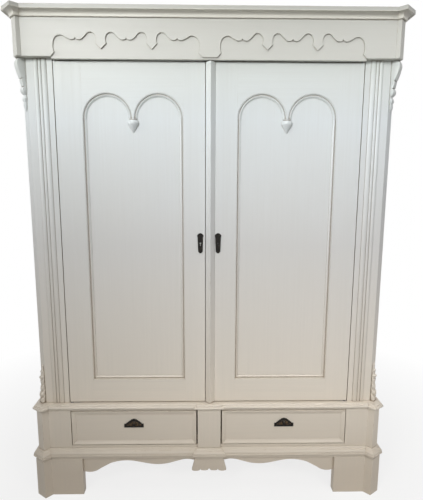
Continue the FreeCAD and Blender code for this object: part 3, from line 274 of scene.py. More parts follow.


# Paint tones by height. Cool white at eye level, darker and warmer near the floor:
# partly paint yellowed by dirt, partly painted shade where less light reaches the
# base. The frieze is a warmer white. The cornice has painted light in its cove, which
# faces down, and painted shade on its crown, which the lamps above light strongly.
BODY_TONES = (
    (0.10, (0.63, 0.545, 0.445)),
    (0.45, (0.83, 0.75, 0.645)),
    (1.10, (0.665, 0.66, 0.65)),
    (1.60, (0.74, 0.785, 0.805)),
    (1.80, (0.735, 0.77, 0.745)),
)
FRIEZE_TONES = ((1.80, (0.65, 0.65, 0.605)),)
# Painted light and shade on the cornice: the cove, which faces down, is painted lighter, and the crown
# darker.
CORNICE_LIGHT_AND_SHADE_TONES = (
    (1.950, (0.615, 0.615, 0.56)), (1.962, (0.84, 0.82, 0.74)),
    (1.976, (0.84, 0.82, 0.74)), (1.982, (0.52, 0.52, 0.48)),
)


def oil_paint(name, grain, worn, dirt_and_shade_reach=0.005, tones=BODY_TONES):
    """Brushed satin paint over softwood. grain is the axis along which it was brushed.

    tones are (height above the floor, colour). Dirt and painted shade darken the
    quirks, found by ambient occlusion: partly dust that a duster doesn't reach, partly
    the shade that falls there. The fourth argument is how far it reaches out of a quirk.
    """
    material = bpy.data.materials.new(name)
    material.use_nodes = True
    tree = material.node_tree
    shader = tree.nodes["Principled BSDF"]
    place, drawn = along_grain(tree, grain)
    streaks = noise(tree, drawn, 3.0, 5.0, 0.62)
    fibres = noise(tree, drawn, 12.0, 3.0, 0.6)
    clouds = noise(tree, place, 2.3, 3.0)

    height = tree.nodes.new("ShaderNodeSeparateXYZ")
    tree.links.new(place, height.inputs[0])
    ageing = tree.nodes.new("ShaderNodeValToRGB")
    ageing.color_ramp.elements.remove(ageing.color_ramp.elements[0])
    for step, (z, colour) in enumerate(tones):
        share = z / RAMP_TOP
        stop = ageing.color_ramp.elements[0] if step == 0 else ageing.color_ramp.elements.new(share)
        stop.position = share
        stop.color = (*colour, 1.0)
    tree.links.new(ranged(tree, height.outputs["Z"], 0.0, RAMP_TOP), ageing.inputs["Fac"])
    colour = ageing.outputs["Color"]
    uneven = ranged(tree, clouds, 0.3, 0.7, 0.0, 0.10)
    colour = blended(tree, uneven, colour, (0.66, 0.60, 0.50))
    brushed = ranged(tree, streaks, 0.3, 0.7, 0.0, 0.10)
    colour = blended(tree, brushed, colour, (0.52, 0.50, 0.45))
    if worn:
        chips = noise(tree, place, 46.0, 5.0, 0.7)
        patches = noise(tree, place, 7.0, 2.0)
        bare = ranged(tree, product(tree, chips, patches), 0.31, 0.36, 0.0, 0.55)
        colour = blended(tree, bare, colour, (0.42, 0.33, 0.22))
    # Painted shade and dirt: ambient occlusion darkens the quirks to a brown that stands partly for
    # dust and partly for the shade there.
    if dirt_and_shade_reach:
        open_air = tree.nodes.new("ShaderNodeAmbientOcclusion")
        open_air.samples = 6
        open_air.inputs["Distance"].default_value = dirt_and_shade_reach
        open_from, thickest = 0.60 + 20 * dirt_and_shade_reach, 0.42 + 40 * dirt_and_shade_reach
        dirt_and_shade = ranged(tree, open_air.outputs["AO"], 0.33, open_from, thickest, 0.0)
        colour = blended(tree, dirt_and_shade, colour, (0.27, 0.20, 0.13))
    tree.links.new(colour, shader.inputs["Base Color"])
    tree.links.new(ranged(tree, streaks, 0.25, 0.75, 0.36, 0.50), shader.inputs["Roughness"])
    ridges = relief(tree, streaks, 0.16, 0.0004)
    tree.links.new(relief(tree, fibres, 0.20, 0.0002, ridges), shader.inputs["Normal"])
    return material


# These paints darken their quirks with dirt and painted shade, from ambient occlusion.
PAINTS = {
    grain: (oil_paint("oil_paint_" + grain, grain, False), oil_paint("worn_edge_" + grain, grain, True))
    for grain in "xyz"
}
# The same paint without the dirt and painted shade in its quirks, for stiles and drawer fronts.
CLEAN_UNSHADED_PAINT = {grain: oil_paint("clean_unshaded_paint_" + grain, grain, False, 0.0) for grain in "xz"}
# Stronger dirt and painted shade, reaching further out of the quirks, for the beads and the carved
# leaves.
QUIRK_DIRT_AND_SHADE_PAINT = oil_paint("quirk_dirt_and_shade_paint", "z", False, 0.013)


def bare_pine(name, grain, tone):
    """Planed pine gone brown with age: late wood drawn out in lines, and some knots."""
    material = bpy.data.materials.new(name)
    material.use_nodes = True
    tree = material.node_tree
    shader = tree.nodes["Principled BSDF"]
    place, drawn = along_grain(tree, grain)
    sweep = noise(tree, scaled(tree, drawn, (0.10, 0.10, 0.10)), 2.0, 2.0)
    rings = tree.nodes.new("ShaderNodeTexWave")
    rings.wave_type = "RINGS"
    rings.inputs["Scale"].default_value = 0.35
    rings.inputs["Distortion"].default_value = 5.0
    rings.inputs["Detail"].default_value = 2.0
    tree.links.new(drawn, rings.inputs["Vector"])
    fibres = noise(tree, drawn, 9.0, 4.0, 0.65)
    colour = blended(tree, ranged(tree, rings.outputs["Fac"], 0.35, 0.95, 0.0, 0.75), tone,
                     tuple(0.62 * c for c in tone))
    colour = blended(tree, ranged(tree, sweep, 0.3, 0.7, 0.0, 0.35), colour, (0.30, 0.19, 0.10))
    colour = blended(tree, ranged(tree, fibres, 0.45, 0.8, 0.0, 0.30), colour, (0.24, 0.15, 0.08))
    knots = tree.nodes.new("ShaderNodeTexVoronoi")
    knots.inputs["Scale"].default_value = 1.0
    stretch = [7.0] * 3
    stretch["xyz".index(grain)] = 2.6
    tree.links.new(scaled(tree, place, stretch), knots.inputs["Vector"])
    knot = ranged(tree, knots.outputs["Distance"], 0.05, 0.10, 0.8, 0.0)
    colour = blended(tree, knot, colour, (0.17, 0.085, 0.04))
    tree.links.new(colour, shader.inputs["Base Color"])
    shader.inputs["Roughness"].default_value = 0.68
    tree.links.new(relief(tree, fibres, 0.35, 0.0004), shader.inputs["Normal"])
    return material


PINE_TONE = (0.56, 0.405, 0.25)
PINE = {grain: bare_pine("bare_pine_" + grain, grain, PINE_TONE) for grain in "xyz"}
END_GRAIN = bare_pine("pine_end_grain", "y", (0.36, 0.235, 0.13))


TOUCHING = 0.00001


def joined_up(mesh):
    """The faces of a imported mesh, joined into closed boards one after another.

    Boards that only touch stay separate. The faces of a board follow each other, and
    a board is complete when each of its edges has been met twice.
    """
    shape = bmesh.new()
    shape.from_mesh(mesh)
    board, met_once = [], set()
    for face in list(shape.faces):
        board.extend(face.verts)
        for edge in face.edges:
            ends = frozenset(tuple(round(c, 6) for c in corner.co) for corner in edge.verts)
            met_once ^= {ends}
        if not met_once:
            bmesh.ops.remove_doubles(shape, verts=list(set(board)), dist=TOUCHING)
            board = []
    if board:
        bmesh.ops.remove_doubles(shape, verts=list(set(board)), dist=TOUCHING)
    return shape


def eased(node, materials, width=0.0008, cuts=(), shave=None):
    """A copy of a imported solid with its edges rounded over, in the solid's place.

    The second of the materials is for the rounded edges. cuts are planes
    (point, normal) along which a face is parted, to be coloured on one side only.
    shave moves the corners of the solid before they are rounded.
    """
    shape = joined_up(frame["nodes"][node].data)
    bmesh.ops.dissolve_limit(
        shape, angle_limit=math.radians(0.4), verts=shape.verts, edges=shape.edges,
        use_dissolve_boundaries=False, delimit={"NORMAL"},
    )
    for point, normal in cuts:
        bmesh.ops.bisect_plane(
            shape, geom=shape.verts[:] + shape.edges[:] + shape.faces[:],
            plane_co=point, plane_no=normal, dist=TOUCHING,
        )
    if shave:
        for corner in shape.verts:
            shave(corner.co)
    mesh = bpy.data.meshes.new(node + "_eased")
    shape.to_mesh(mesh)
    shape.free()
    for material in materials:
        mesh.materials.append(material)
    mesh.shade_smooth()
    piece = bpy.data.objects.new(node + "_eased", mesh)
    scene.collection.objects.link(piece)
    plane = piece.modifiers.new("eased", "BEVEL")
    plane.width = width
    plane.segments = 2
    plane.limit_method = "ANGLE"
    plane.angle_limit = math.radians(32)
    plane.material = 1
    plane.use_clamp_overlap = True
    done = bpy.data.meshes.new_from_object(
        piece.evaluated_get(bpy.context.evaluated_depsgraph_get()))
    piece.modifiers.clear()
    piece.data = done
    low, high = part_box(node)
    shape = bmesh.new()
    shape.from_mesh(done)
    for corner in shape.verts:
        corner.co = [min(max(c, a), b) for c, a, b in zip(corner.co, low, high)]
    for face in shape.faces:
        if face.material_index == 0:
            face.smooth = any(
                other.material_index == 0 and face.normal.angle(other.normal, 0.0) > 0.003
                for edge in face.edges for other in edge.link_faces
            )
    shape.to_mesh(done)
    shape.free()
    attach(piece, frame["nodes"][node]["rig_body"])
    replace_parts(piece, node)
    return piece


def coat(piece, material, where):
    """Give another material to the faces of a piece for which where(face) holds."""
    piece.data.materials.append(material)
    last = len(piece.data.materials) - 1
    for face in piece.data.polygons:
        if where(face):
            face.material_index = last


for node, grain in (
    ("front_feet", "z"), ("back_feet", "z"), ("front_apron", "x"), ("centre_drop", "z"),
    ("plinth_moulding", "x"), ("base_corners", "z"), ("base_sides", "y"),
    ("drawer_muntin", "z"), ("waist_moulding", "x"),
):
    eased(node, PAINTS[grain])

# The rails under the drawers are painted, the dust board behind them is not.
dust_board = eased("dust_board", (PINE["x"], PINE["x"]))
plinth_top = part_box("base_corners")[0].z
coat(dust_board, PAINTS["x"][0], lambda face: face.center.z > plinth_top + 0.0005)
for node, grain in (("base_back", "x"), ("drawer_partition", "y"), ("drawer_runners", "y")):
    eased(node, (PINE[grain], PINE[grain]))

# The waist board shows outside the body, where it is painted with the moulding.
body_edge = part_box("body_sides")[1].x - 0.022
sill_y = door_face_y + 0.026
waist_board = eased(
    "waist_board", (PINE["x"], PINE["x"]),
    cuts=(((0, sill_y, 0), (0, 1, 0)), ((body_edge, 0, 0), (1, 0, 0)), ((-body_edge, 0, 0), (1, 0, 0))),
)
coat(waist_board, PAINTS["x"][0],
     lambda face: face.center.y < sill_y or abs(face.center.x) > body_edge)


# ---- body: posts, sides, back, top board, shelf and rail ------------------------
# Reeded posts and side boards painted outside and left bare inside, with a
# tongued back of six pine boards, a shelf on cleats and a turned clothes rail.

# The reeds of the posts get dirt and painted shade reaching further out of their grooves.
POST_DIRT_AND_SHADE_PAINT = oil_paint("post_dirt_and_shade_paint", "z", False, 0.009)
for node in ("left_pilaster", "right_pilaster"):
    eased(node, (POST_DIRT_AND_SHADE_PAINT, PAINTS["z"][1]), 0.0006)
body_sides = eased("body_sides", PAINTS["z"])
coat(body_sides, PINE["z"], lambda face: face.normal.x * face.center.x < -0.5 * abs(face.center.x))
for node, grain in (
    ("back_boards", "z"), ("hat_shelf", "x"), ("shelf_cleats", "y"), ("hanging_rail", "x"),
):
    eased(node, (PINE[grain], PINE[grain]))
top_board = eased(
    "top_board", (PINE["x"], PINE["x"]), cuts=(((0, sill_y, 0), (0, 1, 0)),))
coat(top_board, PAINTS["x"][0], lambda face: face.center.y < sill_y)


def metal(name, dark, light, polish, fleck):
    """Old metal: the dark skin is rubbed through to the lighter metal in flecks."""
    material = bpy.data.materials.new(name)
    material.use_nodes = True
    tree = material.node_tree
    shader = tree.nodes["Principled BSDF"]
    place = tree.nodes.new("ShaderNodeTexCoord").outputs["Object"]
    grit = noise(tree, place, 900.0, 4.0, 0.6)
    patches = noise(tree, place, 160.0, 3.0)
    rubbed = ranged(tree, patches, fleck, fleck + 0.15)
    tree.links.new(blended(tree, rubbed, dark, light), shader.inputs["Base Color"])
    shader.inputs["Metallic"].default_value = 0.85
    tree.links.new(ranged(tree, grit, 0.3, 0.7, polish, polish + 0.2), shader.inputs["Roughness"])
    tree.links.new(relief(tree, grit, 0.25, 0.0002), shader.inputs["Normal"])
    return material


BLACK_IRON = metal("blackened_iron", (0.018, 0.016, 0.015), (0.05, 0.04, 0.03), 0.42, 0.55)
RUBBED_BRONZE = metal("rubbed_bronze", (0.03, 0.022, 0.015), (0.22, 0.135, 0.06), 0.34, 0.45)
STEEL = metal("dull_steel", (0.20, 0.195, 0.19), (0.42, 0.41, 0.40), 0.34, 0.50)
NAIL_IRON = metal("nail_iron", (0.10, 0.085, 0.075), (0.22, 0.16, 0.12), 0.5, 0.5)


def head_tree(slotted):
    """Nodes that set a nail or screw head on each point of a mesh, facing along Z."""
    tree = bpy.data.node_groups.new("screw_heads" if slotted else "nail_heads", "GeometryNodeTree")
    tree.is_modifier = True
    sockets = {"Places": tree.interface.new_socket(
        "Places", in_out="INPUT", socket_type="NodeSocketGeometry")}
    for label, kind in (
        ("Head radius", "NodeSocketFloat"), ("Head rise", "NodeSocketFloat"),
        ("Facing", "NodeSocketVector"), ("Metal", "NodeSocketMaterial"),
    ):
        sockets[label] = tree.interface.new_socket(label, in_out="INPUT", socket_type=kind)
    tree.interface.new_socket("Heads", in_out="OUTPUT", socket_type="NodeSocketGeometry")
    given = tree.nodes.new("NodeGroupInput").outputs

    head = tree.nodes.new("GeometryNodeMeshCylinder")
    head.inputs["Vertices"].default_value = 12
    tree.links.new(given["Head radius"], head.inputs["Radius"])
    tree.links.new(given["Head rise"], head.inputs["Depth"])
    made = head.outputs["Mesh"]
    if slotted:
        slot_size = tree.nodes.new("ShaderNodeCombineXYZ")
        for axis, times in (("X", 3.0), ("Y", 0.3)):
            part = tree.nodes.new("ShaderNodeMath")
            part.operation = "MULTIPLY"
            part.inputs[1].default_value = times
            tree.links.new(given["Head radius"], part.inputs[0])
            tree.links.new(part.outputs[0], slot_size.inputs[axis])
        tree.links.new(given["Head rise"], slot_size.inputs["Z"])
        slot_block = tree.nodes.new("GeometryNodeMeshCube")
        tree.links.new(slot_size.outputs[0], slot_block.inputs["Size"])
        raised = tree.nodes.new("GeometryNodeTransform")
        lift = tree.nodes.new("ShaderNodeCombineXYZ")
        half = tree.nodes.new("ShaderNodeMath")
        half.operation = "MULTIPLY"
        half.inputs[1].default_value = 0.5
        tree.links.new(given["Head rise"], half.inputs[0])
        tree.links.new(half.outputs[0], lift.inputs["Z"])
        tree.links.new(slot_block.outputs["Mesh"], raised.inputs["Geometry"])
        tree.links.new(lift.outputs[0], raised.inputs["Translation"])
        cut = tree.nodes.new("GeometryNodeMeshBoolean")
        cut.operation = "DIFFERENCE"
        tree.links.new(made, cut.inputs["Mesh 1"])
        tree.links.new(raised.outputs[0], cut.inputs["Mesh 2"])
        made = cut.outputs["Mesh"]

    turn = tree.nodes.new("FunctionNodeRandomValue")
    turn.data_type = "FLOAT"
    turn.inputs["Seed"].default_value = 7
    [s for s in turn.inputs if s.name == "Max" and s.type == "VALUE"][0].default_value = 3.1
    spin = tree.nodes.new("ShaderNodeCombineXYZ")
    tree.links.new([s for s in turn.outputs if s.type == "VALUE"][0], spin.inputs["Z"])
    set_on = tree.nodes.new("GeometryNodeInstanceOnPoints")
    tree.links.new(given["Places"], set_on.inputs["Points"])
    tree.links.new(made, set_on.inputs["Instance"])
    tree.links.new(given["Facing"], set_on.inputs["Rotation"])
    spun = tree.nodes.new("GeometryNodeRotateInstances")
    tree.links.new(set_on.outputs[0], spun.inputs["Instances"])
    tree.links.new(spin.outputs[0], spun.inputs["Rotation"])
    real = tree.nodes.new("GeometryNodeRealizeInstances")
    tree.links.new(spun.outputs[0], real.inputs[0])
    dressed = tree.nodes.new("GeometryNodeSetMaterial")
    tree.links.new(real.outputs[0], dressed.inputs["Geometry"])
    tree.links.new(given["Metal"], dressed.inputs["Material"])
    result = tree.nodes.new("NodeGroupOutput")
    tree.links.new(dressed.outputs[0], result.inputs[0])
    return tree, sockets


NAIL_HEADS = head_tree(False)
SCREW_HEADS = head_tree(True)


def heads(name, body, kind, places, facing, radius, rise, material):
    """Nail or screw heads as one mesh that rides on one body."""
    tree, sockets = kind
    points = bpy.data.meshes.new(name + "_places")
    points.from_pydata(places, [], [])
    piece = bpy.data.objects.new(name, points)
    scene.collection.objects.link(piece)
    maker = piece.modifiers.new("heads", "NODES")
    maker.node_group = tree
    for label, value in (
        ("Head radius", radius), ("Head rise", rise), ("Facing", facing), ("Metal", material),
    ):
        maker[sockets[label].identifier] = value
    done = bpy.data.meshes.new_from_object(
        piece.evaluated_get(bpy.context.evaluated_depsgraph_get()))
    piece.modifiers.clear()
    piece.data = done
    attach(piece, body)


TO_BACK = (math.radians(-90), 0.0, 0.0)
UPWARDS = (0.0, 0.0, 0.0)
NAIL_RADIUS, NAIL_RISE = 0.0035, 0.0012
carcass = frame["nodes"]["back_boards"]["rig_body"]
shelf_low, shelf_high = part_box("hat_shelf")
back_low, back_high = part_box("back_boards")
board_width = (back_high.x - back_low.x) / 6
shelf_z = (shelf_low.z + shelf_high.z) / 2
heads(
    "back_board_nails", carcass, NAIL_HEADS,
    [(back_low.x + (i + 0.5 + side * 0.3) * board_width, back_high.y, shelf_z)
     for i in range(6) for side in (-1, 1)],
    TO_BACK, NAIL_RADIUS, NAIL_RISE, NAIL_IRON,
)
base_low, base_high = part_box("base_back")
heads(
    "base_back_nails", carcass, NAIL_HEADS,
    [(side * (base_high.x - 0.011), base_high.y - 0.0007, base_low.z + 0.025 + i * 0.04)
     for side in (-1, 1) for i in range(4)],
    TO_BACK, NAIL_RADIUS, NAIL_RISE, NAIL_IRON,
)


# ---- brackets on the canted corners --------------------------------------------
# Carved softwood, glued on: a hanging scroll under the frieze, and below it a
# leaf that stands on the waist, its lobes raised either side of a sunk midrib.

eased("upper_brackets", PAINTS["z"], 0.0016)

LEAF_ROWS = 96
LEAF_COLUMNS = 26
leaf_low, leaf_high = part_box("lower_brackets")
leaf_height = leaf_high.z - leaf_low.z
cant_middle = Vector((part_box("right_pilaster")[1].x - 0.013, door_face_y + 0.016, 0))


def leaf_outline(t):
    """Projection and half width of the leaf at a share t of its height."""
    stations = (
        (0.0, 0.0150, 0.0140), (0.06, 0.0195, 0.0140), (0.14, 0.0215, 0.0140),
        (0.24, 0.0195, 0.0138), (0.36, 0.0145, 0.0130), (0.50, 0.0120, 0.0115),
        (0.60, 0.0145, 0.0125), (0.66, 0.0170, 0.0130), (0.70, 0.0100, 0.0105),
        (0.76, 0.0105, 0.0110), (0.80, 0.0120, 0.0105), (0.84, 0.0062, 0.0085),
        (0.90, 0.0062, 0.0080), (0.94, 0.0068, 0.0065), (1.0, 0.0008, 0.0020),
    )
    for (t0, out0, half0), (t1, out1, half1) in zip(stations, stations[1:]):
        if t <= t1:
            share = (t - t0) / (t1 - t0)
            share = share * share * (3 - 2 * share)
            return out0 + (out1 - out0) * share, half0 + (half1 - half0) * share
    return stations[-1][1:]


def leaf_carving(t, u):
    """How much of the projection stays at height t and place u across, from -1 to 1."""
    rounded = math.sqrt(max(0.0, 1 - 0.80 * u * u))
    midrib = 1 - 0.34 * math.exp(-(u / 0.10) ** 2)
    lobes = 1.0
    if t > 0.08:
        wave = math.sin(2 * math.pi * (t - 0.08) * 6.5 - 2.6 * abs(u))
        lobes = 1 - 0.55 * (0.5 + 0.5 * wave) ** 2 * min(1.0, 0.25 + abs(u) * 1.8)
    return rounded * midrib * lobes


def carved_leaf(side):
    out = Vector((side, -1, 0)).normalized()
    across = Vector((1, side, 0)).normalized()
    middle = Vector((side * cant_middle.x, cant_middle.y, 0))
    shape = bmesh.new()
    rows = []
    for i in range(LEAF_ROWS + 1):
        t = i / LEAF_ROWS
        projection, half = leaf_outline(t)
        row = []
        for j in range(LEAF_COLUMNS + 1):
            u = -1 + 2 * j / LEAF_COLUMNS
            place = middle + across * (u * half)
            depth = projection if t < 0.045 else projection * leaf_carving(t, u)
            place = place + out * depth
            place.z = leaf_low.z + t * leaf_height
            row.append(shape.verts.new(place))
        for u in (1, -1):
            place = middle + across * (u * half)
            place.z = leaf_low.z + t * leaf_height
            row.append(shape.verts.new(place))
        rows.append(row)
    count = len(rows[0])
    for lower, upper in zip(rows, rows[1:]):
        for j in range(count):
            k = (j + 1) % count
            shape.faces.new((lower[j], lower[k], upper[k], upper[j]))
    shape.faces.new(rows[0][::-1])
    shape.faces.new(rows[-1])
    bmesh.ops.recalc_face_normals(shape, faces=shape.faces)
    mesh = bpy.data.meshes.new("carved_leaf")
    shape.to_mesh(mesh)
    shape.free()
    mesh.materials.append(QUIRK_DIRT_AND_SHADE_PAINT)
    mesh.shade_smooth()
    piece = bpy.data.objects.new("carved_leaf_right" if side > 0 else "carved_leaf_left", mesh)
    scene.collection.objects.link(piece)
    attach(piece, carcass)
    return piece


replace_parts(carved_leaf(1), "lower_brackets")
carved_leaf(-1)


# ---- frieze and cornice ----------------------------------------------------------
# A sawn overlay nailed on the frieze board between corner blocks, under a mitred
# cornice. The roof board inside the cornice is bare and nailed down.

FRIEZE_PAINT = tuple(
    oil_paint("frieze_" + part, "x", part == "edge", tones=FRIEZE_TONES) for part in ("face", "edge"))
CORNICE_PAINT = tuple(
    oil_paint("cornice_" + part, "x", part == "edge", tones=CORNICE_LIGHT_AND_SHADE_TONES) for part in ("face", "edge"))
eased("frieze_board", FRIEZE_PAINT)
eased("frieze_box", FRIEZE_PAINT)
eased("scalloped_overlay", FRIEZE_PAINT, 0.0007)
eased("cornice_moulding", CORNICE_PAINT)
eased("roof_board", (PINE["x"], PINE["x"]))
roof_low, roof_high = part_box("roof_board")
heads(
    "roof_board_nails", carcass, NAIL_HEADS,
    [(roof_low.x + 0.06 + i * (roof_high.x - roof_low.x - 0.12) / 9, y, roof_high.z)
     for y in (roof_low.y + 0.045, roof_high.y - 0.016) for i in range(10)],
    UPWARDS, NAIL_RADIUS, NAIL_RISE, NAIL_IRON,
)


# ---- doors -------------------------------------------------------------------------
# Each is a mortised frame of two stiles and two rails round a thin panel. The
# beading is bent and turned to follow the two arches, with a turned drop between.

SPRING_LINE = 1.602
DROP_HALF_WIDTH, DROP_LENGTH = 0.024, 0.06
HOLLOW_FROM, HOLLOW_TO = 0.0042, 0.0072
CREST_FROM, CREST_TO = 0.0054, 0.0044
panel_low, panel_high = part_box("right_door_beading")
DROP_X = (panel_low.x + panel_high.x) / 2


def hollow(place):
    """Deepen the bead's slope next to the frame to a hollow and raise its crest."""
    depth = place.y - door_face_y
    by_drop = abs(abs(place.x) - DROP_X) < DROP_HALF_WIDTH
    if by_drop and SPRING_LINE - DROP_LENGTH < place.z < SPRING_LINE - 0.0005:
        return
    if abs(depth - HOLLOW_FROM) < 0.0001:
        place.y = door_face_y + HOLLOW_TO
    elif abs(depth - CREST_FROM) < 0.0001:
        place.y = door_face_y + CREST_TO


for side in ("left", "right"):
    eased(side + "_door_stiles", (CLEAN_UNSHADED_PAINT["z"], PAINTS["z"][1]), 0.0006)
    eased(side + "_door_rails", PAINTS["x"], 0.0006)
    eased(side + "_door_panel", PAINTS["z"], 0.0006)
    eased(side + "_door_beading", (QUIRK_DIRT_AND_SHADE_PAINT, QUIRK_DIRT_AND_SHADE_PAINT), 0.0004, shave=hollow)
eased("astragal", PAINTS["z"], 0.0012)


# ---- ironwork of the doors -----------------------------------------------------------
# Pressed keyhole plates, blackened, with a raised border and two pins. Behind
# them are a mortise lock, two sliding bolts in staples, and pivot hinges.


def face_loops(node):
    """Outlines of the front face of a plate, the outer one first, as (x, z) points."""
    shape = bmesh.new()
    shape.from_mesh(frame["nodes"][node].data)
    bmesh.ops.remove_doubles(shape, verts=shape.verts, dist=TOUCHING)
    front = min(v.co.y for v in shape.verts)
    faces = {f for f in shape.faces if abs(f.calc_center_median().y - front) < 0.00005}
    after = {}
    for face in faces:
        for loop in face.loops:
            if not all(f in faces for f in loop.edge.link_faces):
                after[loop.vert] = loop.link_loop_next.vert
    loops = []
    while after:
        start, here = after.popitem()
        points = [start.co.copy(), here.co.copy()]
        while here in after:
            here = after.pop(here)
            points.append(here.co.copy())
        loops.append([(p.x, p.z) for p in points[:-1]])
    shape.free()
    loops.sort(key=lambda pts: max(p[0] for p in pts) - min(p[0] for p in pts), reverse=True)
    return front, loops


def inset(points, distance):
    """A closed outline moved inwards."""
    count = len(points)
    area = sum(points[i - 1][0] * points[i][1] - points[i][0] * points[i - 1][1] for i in range(count))
    turn = 1 if area > 0 else -1
    moved = []
    for i in range(count):
        (ax, az), (bx, bz), (cx, cz) = points[i - 1], points[i], points[(i + 1) % count]
        before = Vector((bx - ax, bz - az)).normalized()
        after = Vector((cx - bx, cz - bz)).normalized()
        normal = Vector((-before.y - after.y, before.x + after.x))
        normal = normal / max(0.5, normal.length_squared / 2)
        moved.append((bx + turn * distance * normal.x, bz + turn * distance * normal.y))
    return moved


def border(shape, points, front, steps):
    """A raised rim along an outline. steps are (inset, rise) from outside to inside."""
    rings = []
    for distance, rise in steps:
        rings.append([shape.verts.new((x, front - rise, z)) for x, z in inset(points, distance)])
    for outer, inner in zip(rings, rings[1:]):
        for i in range(len(outer)):
            j = (i + 1) % len(outer)
            shape.faces.new((outer[i], outer[j], inner[j], inner[i]))


def dome(shape, x, z, front, radius, rise):
    """A low round boss or pin head."""
    rings = []
    for level in range(4):
        turn = level * math.pi / 8
        size, height = radius * math.cos(turn), rise * math.sin(turn)
        rings.append([
            shape.verts.new((x + size * math.cos(a), front - height, z + size * math.sin(a)))
            for a in (2 * math.pi * i / 14 for i in range(14))
        ])
    for outer, inner in zip(rings, rings[1:]):
        for i in range(14):
            j = (i + 1) % 14
            shape.faces.new((outer[i], outer[j], inner[j], inner[i]))
    shape.faces.new(rings[-1])


def finished(shape, name, node, material):
    """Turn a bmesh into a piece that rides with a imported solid."""
    bmesh.ops.recalc_face_normals(shape, faces=shape.faces)
    mesh = bpy.data.meshes.new(name)
    shape.to_mesh(mesh)
    shape.free()
    mesh.materials.append(material)
    mesh.shade_smooth()
    piece = bpy.data.objects.new(name, mesh)
    scene.collection.objects.link(piece)
    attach(piece, frame["nodes"][node]["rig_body"])
    return piece


RIM = ((0.0003, 0.0), (0.0007, 0.0009), (0.0017, 0.0011), (0.0023, 0.0002))
PIN_RADIUS, PIN_RISE = 0.0021, 0.0012
BOSS_RADIUS, BOSS_RISE = 0.0038, 0.0022
COLLAR = ((0.0, 0.0), (-0.0004, 0.0008), (-0.0012, 0.0008), (-0.0016, 0.0))
for side in ("left", "right"):
    plate = side + "_door_escutcheon"
    eased(plate, (BLACK_IRON, BLACK_IRON), 0.0004)
    front, loops = face_loops(plate)
    shape = bmesh.new()
    border(shape, loops[0], front, RIM)
    border(shape, loops[1], front, COLLAR)
    low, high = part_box(plate)
    middle = (low.x + high.x) / 2
    for z in (low.z + 0.0085, high.z - 0.0095):
        dome(shape, middle, z, front, PIN_RADIUS, PIN_RISE)
    finished(shape, side + "_door_plate_relief", plate, BLACK_IRON)
    eased(side + "_door_hinge_plates", (STEEL, STEEL), 0.0003)
eased("hinge_pins", (STEEL, STEEL), 0.0002)
for node in (
    "right_door_lock", "right_door_lock_bolt", "left_door_bolt_staples",
    "left_door_upper_bolt", "left_door_lower_bolt",
):
    eased(node, (STEEL, STEEL), 0.0004)


# ---- drawers ---------------------------------------------------------------------------
# Pine fronts with a mitred frame planted on and painted, boxes with through
# dovetails behind, cast plates with ribs fanning out over a boss, and half locks.

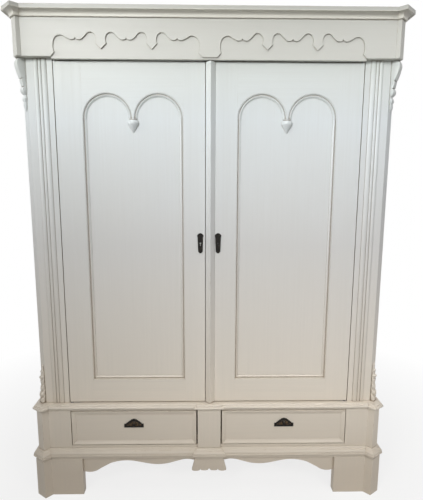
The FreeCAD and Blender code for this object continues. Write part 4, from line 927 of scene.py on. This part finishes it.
SCREW_RADIUS, SCREW_RISE, SCREW_IN = 0.0032, 0.0014, 0.007
RIB_COUNT, FIRST_RIB, RIB_STEP = 11, 12, 15.6
RIB_ROOT, RIB_START, RIB_RISE = 0.006, 0.0075, 0.0011
RIB_HALF_WIDTH, RIB_FLARE = 0.0007, 1.7
CLEAR_OF_KEYHOLE = 0.16
TAIL_COUNT, TAIL_PITCH, TAIL_PROUD = 4, 0.030, 0.00015
TAIL_DEPTH, NARROW_HALF, WIDE_HALF = 0.014, 0.004, 0.007
for side in ("left", "right"):
    eased(side + "_drawer_front", (CLEAN_UNSHADED_PAINT["x"], PAINTS["x"][1]), 0.0006)
    eased(side + "_drawer_frame", PAINTS["x"], 0.0006)
    eased(side + "_drawer_box", (PINE["y"], PINE["y"]))
    eased(side + "_drawer_lock", (STEEL, STEEL), 0.0004)
    eased(side + "_drawer_lock_bolt", (STEEL, STEEL), 0.0003)

    plate = side + "_drawer_escutcheon"
    eased(plate, (BLACK_IRON, BLACK_IRON), 0.0004)
    front, loops = face_loops(plate)
    low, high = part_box(plate)
    middle = (low.x + high.x) / 2
    shape = bmesh.new()
    border(shape, loops[0], front, RIM)
    border(shape, loops[1], front, COLLAR)
    dome(shape, middle, low.z + 0.0085, front, BOSS_RADIUS, BOSS_RISE)
    finished(shape, side + "_drawer_plate_relief", plate, BLACK_IRON)
    ribs = bmesh.new()
    root = Vector((middle, low.z + RIB_ROOT))
    for i in range(RIB_COUNT):
        angle = math.radians(FIRST_RIB + RIB_STEP * i)
        if abs(angle - math.pi / 2) < CLEAR_OF_KEYHOLE:
            continue
        along = Vector((math.cos(angle), math.sin(angle)))
        reach = min(
            (0.034 / abs(along.x)) if abs(along.x) > 0.001 else 1.0,
            0.026 / (along.y + 0.62 * abs(along.x)),
        )
        wide = Vector((-along.y, along.x)) * RIB_HALF_WIDTH
        corners = []
        for distance, spread in ((RIB_START, 1.0), (max(0.012, reach), RIB_FLARE)):
            base = root + along * distance
            left_foot, right_foot = base + wide * spread, base - wide * spread
            corners.append((
                ribs.verts.new((left_foot.x, front, left_foot.y)),
                ribs.verts.new((base.x, front - RIB_RISE, base.y)),
                ribs.verts.new((right_foot.x, front, right_foot.y)),
            ))
        near, far = corners
        ribs.faces.new((near[0], near[1], far[1], far[0]))
        ribs.faces.new((near[1], near[2], far[2], far[1]))
        ribs.faces.new(near)
        ribs.faces.new(far[::-1])
    finished(ribs, side + "_drawer_plate_ribs", plate, RUBBED_BRONZE)

    # Through dovetails at the back corners of the box, end grain showing on the sides.
    low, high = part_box(side + "_drawer_box")
    tails = bmesh.new()
    for edge, out in ((low.x, -1), (high.x, 1)):
        for i in range(TAIL_COUNT):
            z = low.z + TAIL_PITCH + i * TAIL_PITCH
            x = edge + out * TAIL_PROUD
            corners = [
                (x, high.y - TAIL_DEPTH, z - NARROW_HALF), (x, high.y, z - WIDE_HALF),
                (x, high.y, z + WIDE_HALF), (x, high.y - TAIL_DEPTH, z + NARROW_HALF),
            ]
            tails.faces.new([tails.verts.new(c) for c in corners[::-out]])
    piece = finished(tails, side + "_drawer_dovetails", side + "_drawer_box", END_GRAIN)

    low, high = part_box(side + "_drawer_lock")
    heads(
        side + "_drawer_lock_screws", frame["nodes"][side + "_drawer_lock"]["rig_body"], SCREW_HEADS,
        [(x, high.y, z) for x in (low.x + SCREW_IN, high.x - SCREW_IN)
         for z in (low.z + SCREW_IN, high.z - 0.010)],
        TO_BACK, SCREW_RADIUS, SCREW_RISE, STEEL,
    )
